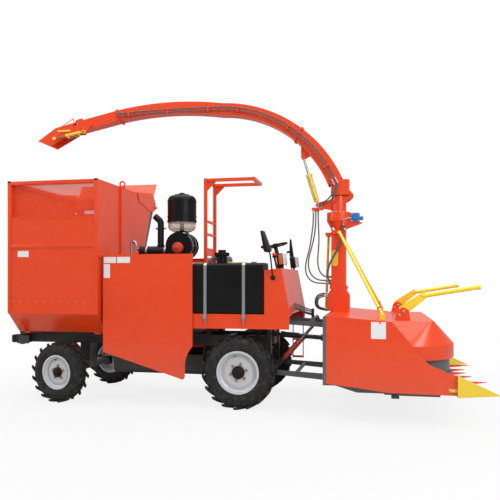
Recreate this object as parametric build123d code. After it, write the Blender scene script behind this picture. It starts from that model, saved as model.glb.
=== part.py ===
from build123d import *
import math
import os

# Self-propelled corn forage harvester: four wheels, tipping bin, rotary header on lift links, swinging spout.
# Millimetres. +X is forward, +Y is the left side, +Z is up. Places are measured from the ground under the
# front axle, and every piece is shifted by FRONT_AXLE_X so that the frame is under the middle of the machine.
FRONT_AXLE_X = 112.5

# Running gear
WHEELBASE = 2880
FRONT_TRACK = 1725
REAR_TRACK = 1840
# Wheel sizes: tyre diameter, tyre width, rim seat diameter, rim width, lug height, lugs a side, hub radius
FRONT_WHEEL = dict(tyre_d=1105, tyre_w=284, rim_d=610, rim_w=254, lug_h=34, lugs=18, hub_r=92)
REAR_WHEEL = dict(tyre_d=950, tyre_w=241, rim_d=508, rim_w=203, lug_h=30, lugs=17, hub_r=74)
RIM_WALL = 9
FLANGE_RISE = 18
WELL_DEPTH = 30
BEAD_GAP = 0.3
HUB_DEPTH = 90
SPINDLE_R = 42
SPINDLE_DEPTH = 80
KINGPIN_Y = 735
KINGPIN_R = 24
STEER_SHOWN = -10.7
STEER_ARM = 160
PIN_GAP = 0.3
SIDE_GAP = 2

# Ladder frame
RAIL_Y = 400
RAIL_W = 80
RAIL_Z = (890, 1060)
FRAME_REAR_X = -3790
FRAME_FRONT_X = 410
CROSS_X = (-3300, -2880, -2300, -1900, -1000, -300)
NOSE_X = 310
NOSE_Z = (480, 580)
NOSE_HALF = 690
TOW_R = 16
TOW_T = 30
TOW_X = 125

# Header lift linkage: lower and upper pins, shown in X and Z
LINK_LENGTH = 770
LINK_DROP = 50
LOWER_PIN = (470, 530)
UPPER_PIN = (470, 1290)
SHAFT_PIN = (470, 1055)
JOINT_R = 28
LOWER_Y = 620
UPPER_Y = 400
LINK_W = 40
LINK_PIN_R = 20
EAR_T = 16
LIFT_BASE = (560, 670)
LIFT_EYE_RUN = 600
LIFT_Y = 300

# Platform, tank, cowl and seat
DECK_Z = 1425
DECK_T = 20
DECK_X = (-740, 640)
SIDE_Y = 980
SILL_Z = 1206
SILL_FRONT_X = 786
SHEET = 8
TANK_X = (-690, 388)
TANK_Y = (-1000, -550)
TANK_TOP = 2190
TANK_ROUND = 60
FILLER = (-277, -830)
STRAP_X = (-497, 94)
STRAP_W = 45
STRAP_T = 5
COWL_BACK_X = 400
COWL_TOP = (654, 2107)
COWL_BACK_Z = 2080
CANOPY_X = (-715, 130)
CANOPY_Y = 285
CANOPY_TOP = 3575
CANOPY_TUBE = 50

# Engine and its panels
ENGINE_X = (-2000, -900)
ENGINE_HALF = 340
ENGINE_TOP = 2200
PANEL_Y = 1030
PANEL_T = 40
PANEL_X = (-2130, -690)
PANEL_TOP = 2330

# Collecting bin
BIN_X = (-3725, -2182)
BIN_RIGHT_Y = -1100
BIN_KNEE_Z = 1420
BIN_FLOOR_Y = (-774, 250)
BIN_FLOOR_Z = 1095
BIN_TOP_Z = 3497
BIN_TOP_Y = 1240
BIN_TUBE = 60
BIN_WALL = 6
SCREEN_Z = 2930
MID_RAIL_Z = 2490
TIP_PIN = (500, 1020)
TIP_X = (-3480, -2480)
TIP_CYL_X = -3150
TIP_BASE = (300, 620)
TIP_EYE = (-300, 1000)
GATE_PIN = (1360, 3330)
GATE_T = 30
GATE_GAP = 6
GATE_LOW_Z = 1360

# Header
HEAD_HALF = 1500
HEAD_BACK_X = 1352
HEAD_BACK_TOP = 1447
HEAD_DECK_END = (2226, 1375)
HEAD_PANEL_T = 12
DRUM_X = 2350
DRUM_Y = HEAD_HALF / 2 - 15
DRUM_R = DRUM_Y - 45
DRUM_Z = (665, 845)
RING_R = DRUM_Y - 15
RING_Z = (630, 660)
RING_TEETH = 24
COVER_R = HEAD_HALF - 20 - DRUM_Y
COVER_Z = (855, 1047)
PLATEAU_X = 2790
PLATEAU_Y = HEAD_HALF - 260
PLATEAU_R = 60
DIVIDER_X = (3058.1, 3575)
PUSH_BAR_Y = HEAD_HALF - 350
STAY_FOOT_Y = HEAD_HALF - 210

# Mast and spout
MAST_X = 1435
MAST_W = 227
MAST_WALL = 8
MAST_TOP = 2730
RING_TOP = 2868
HEAD_TOP = 3268
HEAD_R = 118
BOOM_PIN = (1632, 3280)
BOOM_BASE = (1100, 3135)
BOOM_EYE = (870, 3907)
DUCT_HALF = 110
DUCT_WALL = 6
# Duct stations along the top edge: x, z, direction of travel in degrees, depth of the duct
BOOM_STATIONS = (
    (1495, 3546, 117, 250),
    (857, 4359, 146, 215),
    (-455, 4839, 172.7, 190),
    (-1534, 4904, 180, 180),
    (-2310, 4820, 191.5, 172),
    (-3050, 4670, 191.5, 172),
)
FLAP_PIN = (-3075, 4682)
FLAP_EYE = (-3438, 4380)
FLAP_BASE = (-2894, 4474)
FLAP_HALF = 126
FLAP_CYL_Y = -165
HOSE_R = 11


# Small helpers for placing plain forms
def block(x, y, z):
    """Box between two corners, each axis given as (low, high)."""
    centre = Pos((x[0] + x[1]) / 2, (y[0] + y[1]) / 2, (z[0] + z[1]) / 2)
    return centre * Box(x[1] - x[0], y[1] - y[0], z[1] - z[0])


def plate_xz(points, y):
    """Sheet with an outline in X and Z, between two Y planes."""
    face = make_face(Polyline(*[(px, y[0], pz) for px, pz in points], close=True))
    return extrude(face, amount=y[1] - y[0], dir=(0, 1, 0))


def plate_yz(points, x):
    """Sheet with an outline in Y and Z, between two X planes."""
    face = make_face(Polyline(*[(x[0], py, pz) for py, pz in points], close=True))
    return extrude(face, amount=x[1] - x[0], dir=(1, 0, 0))


def rod(start, end, radius):
    """Round bar between two points."""
    line = Vector(*end) - Vector(*start)
    return Plane(origin=start, z_dir=line) * Cylinder(
        radius, line.length, align=(Align.CENTER, Align.CENTER, Align.MIN))


def rod_y(x, z, y, radius):
    """Round bar along Y."""
    return rod((x, y[0], z), (x, y[1], z), radius)


def rod_z(x, y, z, radius):
    """Round bar along Z."""
    return rod((x, y, z[0]), (x, y, z[1]), radius)


def join(*shapes):
    """One solid from pieces that touch."""
    return shapes[0] + list(shapes[1:])


def mirrored(shape):
    return mirror(shape, about=Plane.XZ)


def both_sides(*shapes):
    return [side for shape in shapes for side in (shape, mirrored(shape))]


def around(y, gap, thick):
    """The two Y spans of a pair of ears around a bar that is centred on y."""
    half = LINK_W / 2 + gap
    return ((y - half - thick, y - half), (y + half, y + half + thick))


def save(node, *solids):
    moved = [Pos(FRONT_AXLE_X, 0, 0) * solid for solid in solids]
    shape = moved[0] if len(moved) == 1 else Compound(children=moved)
    export_step(shape, f"parts/{node}.step")


# Wheels, made about the origin with the axle along Y and the outer face towards -Y
def rim(wheel):
    seat = wheel["rim_d"] / 2
    half = wheel["rim_w"] / 2
    well = 0.24 * wheel["rim_w"]
    slope = 20
    outer = [(seat + FLANGE_RISE, half), (seat + FLANGE_RISE, half - RIM_WALL), (seat, half - RIM_WALL),
             (seat, well + slope), (seat - WELL_DEPTH, well)]
    inner = [(seat - RIM_WALL, half), (seat - RIM_WALL, well + slope), (seat - WELL_DEPTH - RIM_WALL, well)]
    section = outer + [(r, -y) for r, y in reversed(outer)] + [(r, -y) for r, y in inner] + inner[::-1]
    barrel = revolve(make_face(Polyline(*section, close=True)), Axis.Y)
    hub_r = wheel["hub_r"]
    edge = seat - WELL_DEPTH - RIM_WALL / 2
    dish = 0.68 * seat
    disc_t = 12
    face_y = -0.14 * wheel["rim_w"]
    crown_y = face_y - 26
    profile = [(edge, face_y + disc_t), (edge, face_y), (dish, crown_y), (0, crown_y),
               (0, crown_y + disc_t),
               (dish, crown_y + disc_t)]
    disc = revolve(make_face(Polyline(*profile, close=True)), Axis.Y)
    hub = rod_y(0, 0, (crown_y - 34, HUB_DEPTH), hub_r)
    cap = rod_y(0, 0, (crown_y - 62, crown_y - 34), 0.6 * hub_r)
    bore = rod_y(0, 0, (HUB_DEPTH - SPINDLE_DEPTH, HUB_DEPTH + 1), SPINDLE_R + PIN_GAP)
    return join(barrel, disc, hub, cap) - bore


def tyre(wheel):
    seat = wheel["rim_d"] / 2 + BEAD_GAP
    bead = wheel["rim_w"] / 2 - RIM_WALL - BEAD_GAP
    rise = wheel["rim_d"] / 2 + FLANGE_RISE + 3
    tread_r = wheel["tyre_d"] / 2 - wheel["lug_h"]
    wide = wheel["tyre_w"] / 2
    shoulder = (tread_r - 22, 0.86 * wide)
    crown = (tread_r, 0.66 * wide)
    bulge = (0.55 * rise + 0.45 * tread_r, wide)
    wall = 20
    side = [(seat, bead), (rise, bead), bulge, shoulder, crown]
    inside = [(seat, bead - 34), (rise, bead - 26), (bulge[0], wide - wall),
              (shoulder[0] - wall, shoulder[1] - 14),
              (crown[0] - wall - 6, crown[1])]
    edges = []
    for hand in (1, -1):
        bead_in, bead_out, mid, top, mid_top = [(r, hand * y) for r, y in side]
        edges += [Line(bead_in, bead_out), ThreePointArc(bead_out, mid, top), Line(top, mid_top)]
        ring = [(r, hand * y) for r, y in inside]
        edges += [Polyline(*ring), Line(bead_in, ring[0])]
    edges.append(Line(crown, (crown[0], -crown[1])))
    edges.append(Line((inside[-1][0], inside[-1][1]), (inside[-1][0], -inside[-1][1])))
    return revolve(make_face(edges), Axis.Y)


def lugs(wheel, hand):
    """Chevron lugs of one tyre; hand sets the way the chevrons point."""
    top_r = wheel["tyre_d"] / 2
    root_r = top_r - wheel["lug_h"] - 16
    wide = wheel["tyre_w"] / 2
    thick = 40
    sweep_x = 0.95 * wide
    outline = [(-thick / 2, 8), (thick / 2, 8), (thick / 2 + sweep_x, 0.98 * wide),
               (-thick / 2 + sweep_x, 0.98 * wide)]
    pitch = 360 / wheel["lugs"]
    shapes = []
    for side in (1, -1):
        face = make_face(Polyline(*[(hand * x, side * y, root_r) for x, y in outline], close=True))
        bar = extrude(face, amount=top_r - root_r, dir=(0, 0, 1), taper=0)
        for step in range(wheel["lugs"]):
            shapes.append(Rot(0, pitch * (step + (0.5 if side < 0 else 0)), 0) * bar)
    return shapes


def lugged_tyre(wheel, hand):
    """Tyre with its lugs, trimmed to the tread circle."""
    trim = rod_y(0, 0, (-wheel["tyre_w"] / 2, wheel["tyre_w"] / 2), wheel["tyre_d"] / 2)
    bars = [bar & trim for bar in lugs(wheel, hand)]
    return tyre(wheel) + bars


def wheels():
    front = Pos(0, 0, FRONT_WHEEL["tyre_d"] / 2)
    rear = Pos(-WHEELBASE, 0, REAR_WHEEL["tyre_d"] / 2)
    for name, hand in (("right", -1), ("left", 1)):
        turn = Rot(0, 0, 90 + 90 * hand)
        front_place = front * Pos(0, hand * FRONT_TRACK / 2, 0) * turn
        save(f"rim_front_{name}", front_place * rim(FRONT_WHEEL))
        save(f"tyre_front_{name}", front_place * lugged_tyre(FRONT_WHEEL, -hand))
        rear_place = rear * kingpin_turn(hand) * Pos(0, hand * REAR_TRACK / 2, 0) * turn
        save(f"rim_rear_{name}", rear_place * rim(REAR_WHEEL))
        save(f"tyre_rear_{name}", rear_place * lugged_tyre(REAR_WHEEL, -hand))


def kingpin_turn(hand):
    """The shown steering angle, about the kingpin of one side."""
    return Pos(0, hand * KINGPIN_Y, 0) * Rot(0, 0, STEER_SHOWN) * Pos(0, -hand * KINGPIN_Y, 0)


# Axles and steering
def front_axle():
    z = FRONT_WHEEL["tyre_d"] / 2
    hub_face = FRONT_TRACK / 2 - HUB_DEPTH
    beam = rod_y(0, z, (-hub_face + 60, hub_face - 60), 78)
    case = Pos(0, 0, z) * Sphere(205)
    nose = rod((-330, 0, z + 20), (0, 0, z + 20), 95)
    pieces = [beam, case, nose]
    for hand in (-1, 1):
        drum_y = sorted((hand * (hub_face - 120), hand * (hub_face - 8)))
        tip_y = sorted((hand * (hub_face - 60), hand * (hub_face + SPINDLE_DEPTH - 2)))
        pieces.append(rod_y(0, z, drum_y, 150))
        pieces.append(rod_y(0, z, tip_y, SPINDLE_R))
        pad_y = sorted((hand * (RAIL_Y - 50), hand * (RAIL_Y + 50)))
        pieces.append(block((-95, 95), pad_y, (z, RAIL_Z[0])))
    save("front_axle", join(*pieces))


KNUCKLE_EYE_R = 46
KNUCKLE_EYE_HALF = 70
KNUCKLE_PLATE = 34
STEER_ARM_Z = (40, 62)
TIE_ROD_T = 30


def rear_axle():
    z = REAR_WHEEL["tyre_d"] / 2
    beam = block((-WHEELBASE - 60, -WHEELBASE + 60), (-KINGPIN_Y + 20, KINGPIN_Y - 20), (z - 55, z + 20))
    saddle = block((-WHEELBASE - 90, -WHEELBASE + 90), (-130, 130), (z - 20, 560))
    pieces = [beam, saddle]
    bores = []
    for hand in (-1, 1):
        y = hand * KINGPIN_Y
        pieces.append(rod_z(-WHEELBASE, y, (z - KNUCKLE_EYE_HALF, z + 20), KNUCKLE_EYE_R))
        bores.append(rod_z(-WHEELBASE, y, (z - 200, z + 200), KINGPIN_R + PIN_GAP))
    save("rear_axle", join(*pieces) - bores)


def knuckles():
    z = REAR_WHEEL["tyre_d"] / 2
    low = z - KNUCKLE_EYE_HALF - SIDE_GAP
    high = z + 20 + SIDE_GAP
    hub_face = REAR_TRACK / 2 - HUB_DEPTH
    plate_y = (KINGPIN_Y + KNUCKLE_EYE_R + 6, KINGPIN_Y + KNUCKLE_EYE_R + 6 + KNUCKLE_PLATE)
    for name, hand in (("right", -1), ("left", 1)):
        y = KINGPIN_Y
        lugs_y = (y - 42, plate_y[1])
        pieces = [
            rod_z(-WHEELBASE, y, (low - 30, high + 30), KINGPIN_R),
            block((-WHEELBASE - 42, -WHEELBASE + 42), lugs_y, (low - 30, low)),
            block((-WHEELBASE - 42, -WHEELBASE + 42), lugs_y, (high, high + 20)),
            block((-WHEELBASE - 55, -WHEELBASE + 55), plate_y, (low - 30, high + 20)),
            rod_y(-WHEELBASE, z, (plate_y[0], hub_face + SPINDLE_DEPTH - 2), SPINDLE_R),
            block((-WHEELBASE - STEER_ARM - 34, -WHEELBASE), (y - 34, y + 34), (high, high + 20)),
        ]
        shape = join(*pieces)
        if hand < 0:
            shape = mirrored(shape)
        save(f"knuckle_{name}", Pos(0, 0, 0) * turned_at_kingpin(shape, hand))


def turned_at_kingpin(shape, hand):
    pin = Pos(-WHEELBASE, hand * KINGPIN_Y, 0)
    return pin * Rot(0, 0, STEER_SHOWN) * Pos(WHEELBASE, -hand * KINGPIN_Y, 0) * shape


def tie_rod():
    z = REAR_WHEEL["tyre_d"] / 2 + 20 + SIDE_GAP + 20 + PIN_GAP
    lean = math.radians(STEER_SHOWN)
    x = -WHEELBASE - STEER_ARM * math.cos(lean)
    shift = -STEER_ARM * math.sin(lean)
    ends = [rod_z(x, hand * KINGPIN_Y + shift, (z, z + TIE_ROD_T), 30) for hand in (-1, 1)]
    middle = z + TIE_ROD_T / 2
    bar = rod((x, -KINGPIN_Y + shift, middle), (x, KINGPIN_Y + shift, middle), 13)
    save("tie_rod", join(bar, *ends))


# Ladder frame with its brackets
def rails():
    y = (RAIL_Y - RAIL_W / 2, RAIL_Y + RAIL_W / 2)
    rail = block((FRAME_REAR_X + 60, FRAME_FRONT_X), y, RAIL_Z)
    hollow = block((FRAME_REAR_X + 60, FRAME_FRONT_X - 8), (y[0] + 8, y[1] - 8),
                   (RAIL_Z[0] + 8, RAIL_Z[1] - 8))
    return both_sides(rail - hollow)


def cross_members():
    y = RAIL_Y - RAIL_W / 2
    return [block((x - 40, x + 40), (-y, y), (RAIL_Z[0] + 20, RAIL_Z[1] - 20)) for x in CROSS_X]


def rear_beam():
    beam = block((FRAME_REAR_X, FRAME_REAR_X + 60), (-640, 640), (880, 1070))
    flanges = [block((FRAME_REAR_X - 10, FRAME_REAR_X + 70), (y - 8, y + 8), (865, 1085)) for y in (-632,
                                                                                                    632)]
    hitch = block((FRAME_REAR_X, FRAME_REAR_X + 190), (-70, 70), (880 - TOW_T, 880))
    bore = rod_z(FRAME_REAR_X + TOW_X, 0, (800, 900), TOW_R)
    return [beam, *flanges, hitch - bore]


def pin_ears(pin, y, reach_x, low_z, high_z):
    """A pair of ears with the pin that a link turns on; reach_x is the face that carries them."""
    x, z = pin
    pieces = []
    for span in around(y, SIDE_GAP, EAR_T):
        pieces.append(block((reach_x, x), span, (low_z, high_z)))
        pieces.append(rod_y(x, z, span, (high_z - low_z) / 2))
    outer = around(y, SIDE_GAP, EAR_T + 8)
    pieces.append(rod_y(x, z, (outer[0][0], outer[1][1]), LINK_PIN_R))
    return pieces


def nose():
    beam = block((NOSE_X, FRAME_FRONT_X), (-NOSE_HALF, NOSE_HALF), NOSE_Z)
    hanger = block((NOSE_X, FRAME_FRONT_X), (RAIL_Y - RAIL_W / 2, RAIL_Y + RAIL_W / 2),
                   (NOSE_Z[1], RAIL_Z[0]))
    lower = pin_ears(LOWER_PIN, LOWER_Y, FRAME_FRONT_X, LOWER_PIN[1] - 45, LOWER_PIN[1] + 45)
    upper = pin_ears(UPPER_PIN, UPPER_Y, FRAME_FRONT_X - 60, UPPER_PIN[1] - 40, UPPER_PIN[1] + 40)
    post = block((FRAME_FRONT_X - 60, FRAME_FRONT_X), (UPPER_Y - 40, UPPER_Y + 40),
                 (RAIL_Z[1], UPPER_PIN[1] + 40))
    x, z = LIFT_BASE
    outline = [(NOSE_X + 30, NOSE_Z[1]), (FRAME_FRONT_X, NOSE_Z[0] + 30), (x + 34, z - 22),
               (x + 34, z + 22), (x, z + 40)]
    bracket = [plate_xz(outline, span) for span in around(LIFT_Y, SIDE_GAP, EAR_T)]
    outer = around(LIFT_Y, SIDE_GAP, EAR_T + 6)
    bracket.append(rod_y(x, z, (outer[0][0], outer[1][1]), LINK_PIN_R))
    x, z = SHAFT_PIN
    gearbox = block((250, FRAME_FRONT_X), (-130, 130), (z - 150, z + 90))
    stub = rod((FRAME_FRONT_X - 10, 0, z), (x - JOINT_R - PIN_GAP, 0, z), 40)
    middle = block((NOSE_X + 20, FRAME_FRONT_X - 20), (-RAIL_Y + 30, RAIL_Y - 30),
                   (RAIL_Z[0] + 20, RAIL_Z[1] - 20))
    return [beam, *both_sides(hanger, post, *lower, *upper, *bracket), gearbox, stub, middle]


def bin_supports():
    """Rest pads on the rails, hinge ears on the left rail, and the ears of the tipping cylinder."""
    pads = []
    for x in (BIN_X[0] + 140, BIN_X[1] - 160):
        for y in (-RAIL_Y, RAIL_Y):
            pads.append(block((x - 40, x + 40), (y - 35, y + 35),
                              (RAIL_Z[1], BIN_FLOOR_Z - BIN_TUBE / 2 - PIN_GAP)))
    y, z = TIP_PIN
    face = RAIL_Y + RAIL_W / 2
    ears = []
    for x in TIP_X:
        for span in around(x, SIDE_GAP, EAR_T):
            ears.append(plate_yz([(face, z - 90), (face, z + 26), (y, z + 30), (y + 30, z), (y, z - 34)],
                                 span))
        outer = around(x, SIDE_GAP, EAR_T + 8)
        ears.append(rod((outer[0][0], y, z), (outer[1][1], y, z), LINK_PIN_R - 2))
    y, z = TIP_BASE
    face = RAIL_Y - RAIL_W / 2
    for span in around(TIP_CYL_X, SIDE_GAP + 6, EAR_T):
        ears.append(plate_yz([(face + 4, RAIL_Z[0] + 6), (face + 70, RAIL_Z[0] + 6), (y + 36, z),
                              (y, z - 36), (y - 36, z),
                              (y - 10, z + 40)], span))
    outer = around(TIP_CYL_X, SIDE_GAP + 6, EAR_T + 6)
    ears.append(rod((outer[0][0], y, z), (outer[1][1], y, z), LINK_PIN_R))
    return pads + ears


def belly_tray():
    """Sheet tray under the engine, with bulkheads up to the rails."""
    half = 560
    top = 750
    low = 435
    rail_z = RAIL_Z[0] - PIN_GAP
    wall = SHEET
    x = (-2160, -660)
    outline = [(-half, top), (-half, low + 60), (-half + 70, low), (half - 70, low), (half, low + 60),
               (half, top),
               (half - wall, top), (half - wall, low + 62), (half - 73, low + wall), (-half + 73,
                                                                                      low + wall),
               (-half + wall, low + 62), (-half + wall, top)]
    tray = plate_yz(outline, x)
    bulk = [(-half, top), (-half, low + 60), (-half + 70, low), (half - 70, low), (half, low + 60),
            (half, top),
            (RAIL_Y, rail_z), (-RAIL_Y, rail_z)]
    ends = [plate_yz(bulk, (edge, edge + 12)) for edge in (x[0], x[1] - 12)]
    save("belly_tray", join(tray, *ends))


def platform_posts():
    posts = []
    for x in (-600, 200):
        posts.append(block((x - 40, x + 40), (RAIL_Y - 40, RAIL_Y + 40), (RAIL_Z[1], SILL_Z)))
    return both_sides(*posts)


def axle_hanger():
    return [block((-WHEELBASE - 90, -WHEELBASE + 90), (-130, 130), (560, RAIL_Z[0] + 30))]


def chassis_frame():
    pieces = [*rails(), *cross_members(), *rear_beam(), *nose(), *bin_supports(), *platform_posts(),
              *axle_hanger()]
    save("chassis_frame", join(*pieces))


# Engine, its panels, intake and exhaust
def engine_block():
    low = RAIL_Z[1] - 20
    block_body = block(ENGINE_X, (-ENGINE_HALF, ENGINE_HALF), (low, ENGINE_TOP))
    save("engine_block", chamfer(block_body.edges().filter_by(Axis.X).group_by(Axis.Z)[-1], 60))


def panel_outline():
    """Engine panel: high front and rear edges, a sloping lower edge and a wheel arch at the front."""
    rear, front = PANEL_X
    arch_start = (front - 110, 690)
    arch_end = (front, 930)
    arch_mid = (front - 72, 820)
    corners = [(front, PANEL_TOP), (rear, PANEL_TOP), (rear, 820), (front - 150, 430), (front - 118, 460),
               arch_start]
    edges = [Polyline(*[(x, 0, z) for x, z in corners])]
    edges.append(ThreePointArc(*[(x, 0, z) for x, z in (arch_start, arch_mid, arch_end)]))
    edges.append(Line((arch_end[0], 0, arch_end[1]), (front, 0, PANEL_TOP)))
    return make_face(edges)


def engine_panels():
    """Side panels with their flanges and the outriggers that carry them on the rails."""
    face = panel_outline()
    sheet = 5
    skin = Pos(0, -PANEL_Y, 0) * extrude(face, amount=sheet, dir=(0, 1, 0))
    stiff = []
    rear, front = PANEL_X
    inside = (-PANEL_Y, -PANEL_Y + PANEL_T)
    stiff.append(block((rear, rear + sheet), inside, (820, PANEL_TOP)))
    stiff.append(block((front - sheet, front), inside, (930, PANEL_TOP)))
    stiff.append(block((rear, front), inside, (PANEL_TOP - sheet, PANEL_TOP)))
    for z in (1000, 1640):
        stiff.append(block((rear, front), (-PANEL_Y, -PANEL_Y + PANEL_T), (z, z + 40)))
    rail = -RAIL_Y - RAIL_W / 2 - PIN_GAP
    arm_z = (RAIL_Z[1] - 60, RAIL_Z[1] - 10)
    upright_y = (-PANEL_Y, -PANEL_Y + PANEL_T + 40)
    for x in (rear + 90, front - 210):
        stiff.append(block((x - 25, x + 25), (-PANEL_Y, rail), arm_z))
        stiff.append(block((x - 25, x + 25), upright_y, (arm_z[0], PANEL_TOP - 60)))
    right = join(skin, *stiff)
    left = mirrored(right)
    slots = [block((rear + 180, front - 420), (PANEL_Y - 20, PANEL_Y + 20),
                   (z, z + 34)) for z in range(1720, 2240, 62)]
    save("engine_panels", right, left - slots)


AIR_X = -1070
AIR_Y = -350
AIR_Z = 2486
AIR_R = 215


def air_cleaner():
    """Canister across the engine, a neck, and a domed pre-cleaner cap above its clear bowl."""
    can = rod_y(AIR_X, AIR_Z, (AIR_Y - 190, AIR_Y + 230), AIR_R - 15)
    ends = [rod_y(AIR_X, AIR_Z, (AIR_Y + y, AIR_Y + y + 22), AIR_R) for y in (-190, 208)]
    saddle = block((AIR_X - 120, AIR_X + 120), (AIR_Y - 120, AIR_Y + 160), (ENGINE_TOP, AIR_Z - 120))
    neck = rod_z(AIR_X, AIR_Y, (AIR_Z, AIR_Z + 228), 110)
    stem = rod_z(AIR_X, AIR_Y, (AIR_Z + 220, AIR_Z + 400), 40)
    cap = rod_z(AIR_X, AIR_Y, (AIR_Z + 390, AIR_Z + 816), 232)
    cap = fillet(cap.edges().group_by(Axis.Z)[-1], 90)
    crown = rod_z(AIR_X, AIR_Y, (AIR_Z + 810, AIR_Z + 832), 120)
    save("air_cleaner", join(can, *ends, saddle, neck, stem, cap, crown))


def precleaner_bowl():
    profile = [(60, 228), (150, 228), (205, 262), (222, 300), (222, 390), (212, 390), (212, 304),
               (198, 272), (146, 238),
               (60, 238)]
    face = make_face(Polyline(*[(r, 0, z) for r, z in profile], close=True))
    save("precleaner_bowl", Pos(AIR_X, AIR_Y, AIR_Z) * revolve(face, Axis.Z))


MUFFLER_X = (-1780, -1290)
MUFFLER_Z = 2400
STACK_X = -1433
STACK_R = 52


def exhaust():
    muffler = rod((MUFFLER_X[0], AIR_Y, MUFFLER_Z), (MUFFLER_X[1], AIR_Y, MUFFLER_Z), 88)
    feet = [block((x - 30, x + 30), (AIR_Y - 40, AIR_Y + 130),
                  (ENGINE_TOP, MUFFLER_Z - 40)) for x in (-1660, -1340)]
    path = FilletPolyline((STACK_X, AIR_Y, MUFFLER_Z), (STACK_X, AIR_Y, 2890),
                          (STACK_X - 100, AIR_Y, 2980), radius=90)
    pipe = sweep(Plane(origin=path @ 0, z_dir=path % 0) * Circle(STACK_R), path=path)
    bore_path = Line(path @ 1, (path @ 1) - (path % 1) * 60)
    mouth = sweep(Plane(origin=bore_path @ 0, z_dir=bore_path % 0) * Circle(STACK_R - 6), path=bore_path)
    clamp = rod_z(STACK_X, AIR_Y, (2760, 2790), STACK_R + 6)
    save("exhaust", join(muffler, *feet, pipe, clamp) - mouth)


# Operator's place
def operator_platform():
    deck = block(DECK_X, (-SIDE_Y, SIDE_Y), (DECK_Z - DECK_T, DECK_Z))
    side = [(DECK_X[0], SILL_Z), (SILL_FRONT_X - 16, SILL_Z), (SILL_FRONT_X, DECK_Z), (DECK_X[0], DECK_Z)]
    skirt = plate_xz(side, (SIDE_Y - SHEET, SIDE_Y))
    flange = block((DECK_X[0], SILL_FRONT_X - 20), (SIDE_Y - 80, SIDE_Y), (SILL_Z, SILL_Z + SHEET))
    nose_plate = block((DECK_X[1] - 10, SILL_FRONT_X - 6), (SIDE_Y - 240, SIDE_Y),
                       (DECK_Z - DECK_T, DECK_Z))
    beams = [block((x - 40, x + 40), (-SIDE_Y, SIDE_Y), (SILL_Z, DECK_Z - DECK_T)) for x in (-600, 200)]
    pedestal = block((-330, 40), (-190, 190), (DECK_Z, 1790))
    pieces = [deck, *both_sides(skirt, flange, nose_plate), *beams, pedestal]
    rail_x = (572, 752)
    for x in rail_x:
        pieces.append(block((x - 6, x + 6), (SIDE_Y - 60, SIDE_Y), (560, DECK_Z - DECK_T)))
    for z in (575, 880, 1170):
        pieces.append(block((rail_x[0], rail_x[1]), (SIDE_Y - 130, SIDE_Y), (z, z + 24)))
    save("operator_platform", join(*pieces))


def seat():
    cushion = block((-340, 110), (-230, 230), (1790 + PIN_GAP, 1905))
    back = block((-455, -345), (-215, 215), (1860, 2360))
    bracket = block((-450, -335), (-60, 60), (1790 + PIN_GAP, 1870))
    save("seat", join(fillet(cushion.edges().filter_by(Axis.Z), 60),
                      fillet(back.edges().filter_by(Axis.X), 70), bracket))


def fuel_tank():
    wide = TANK_Y[1] - TANK_Y[0]
    high = TANK_TOP - DECK_Z
    place = Plane(origin=(TANK_X[0], sum(TANK_Y) / 2, DECK_Z + high / 2), x_dir=(0, 1, 0), z_dir=(1, 0, 0))
    tank = extrude(place * RectangleRounded(wide, high, TANK_ROUND), amount=TANK_X[1] - TANK_X[0])
    filler = []
    # filler columns: low, high and radius above the tank's top
    for low, top, radius in ((-10, 110, 75), (108, 160, 105), (158, 200, 60)):
        filler.append(rod_z(*FILLER, (TANK_TOP + low, TANK_TOP + top), radius))
    sender = rod_z(210, TANK_Y[0] + 210, (TANK_TOP - 10, TANK_TOP + 18), 38)
    save("fuel_tank", join(tank, *filler, sender))


def tank_straps():
    wide = TANK_Y[1] - TANK_Y[0]
    high = TANK_TOP - DECK_Z
    straps = []
    for x in STRAP_X:
        place = Plane(origin=(x - STRAP_W / 2, sum(TANK_Y) / 2, DECK_Z + high / 2), x_dir=(0, 1, 0),
                      z_dir=(1, 0, 0))
        grow = 2 * (STRAP_T + PIN_GAP)
        outer = place * RectangleRounded(wide + grow, high + grow, TANK_ROUND + STRAP_T + PIN_GAP)
        inner = place * RectangleRounded(wide + 2 * PIN_GAP, high + 2 * PIN_GAP, TANK_ROUND + PIN_GAP)
        band = extrude(outer - inner, amount=STRAP_W)
        below = block((x - STRAP_W, x + STRAP_W), (TANK_Y[0] - 50, TANK_Y[1] + 50), (DECK_Z - 60, DECK_Z))
        foot_y = (-SIDE_Y - 42, -SIDE_Y)
        foot = block((x - 30, x + 30), foot_y, (DECK_Z - 70, DECK_Z - 12))
        tail = block((x - STRAP_W / 2, x + STRAP_W / 2),
                     (TANK_Y[0] - PIN_GAP - STRAP_T, TANK_Y[0] - PIN_GAP),
                     (DECK_Z - 40, DECK_Z + TANK_ROUND + 10))
        straps.append(join(band - below, tail, foot))
    save("tank_straps", *straps)


def front_cowl():
    top_x, top_z = COWL_TOP
    profile = [(COWL_BACK_X, DECK_Z), (COWL_BACK_X, COWL_BACK_Z), (top_x, top_z), (SILL_FRONT_X, DECK_Z)]
    inner = [(COWL_BACK_X - 20, DECK_Z - 20), (COWL_BACK_X - 20, COWL_BACK_Z - SHEET),
             (top_x - SHEET, top_z - SHEET),
             (SILL_FRONT_X - SHEET + 4, DECK_Z - 20)]
    shell = plate_xz(profile, (-SIDE_Y, SIDE_Y)) - plate_xz(inner, (-SIDE_Y + SHEET, SIDE_Y - SHEET))
    dash = block((COWL_BACK_X, COWL_BACK_X + SHEET), (-SIDE_Y, SIDE_Y),
                 (COWL_BACK_Z - 190, COWL_BACK_Z - 4))
    save("front_cowl", join(shell, dash))


STEER_HUB = (405, 0, 2490)
STEER_FOOT = (505, 0, 2086)
STEER_WHEEL_R = 195


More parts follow.
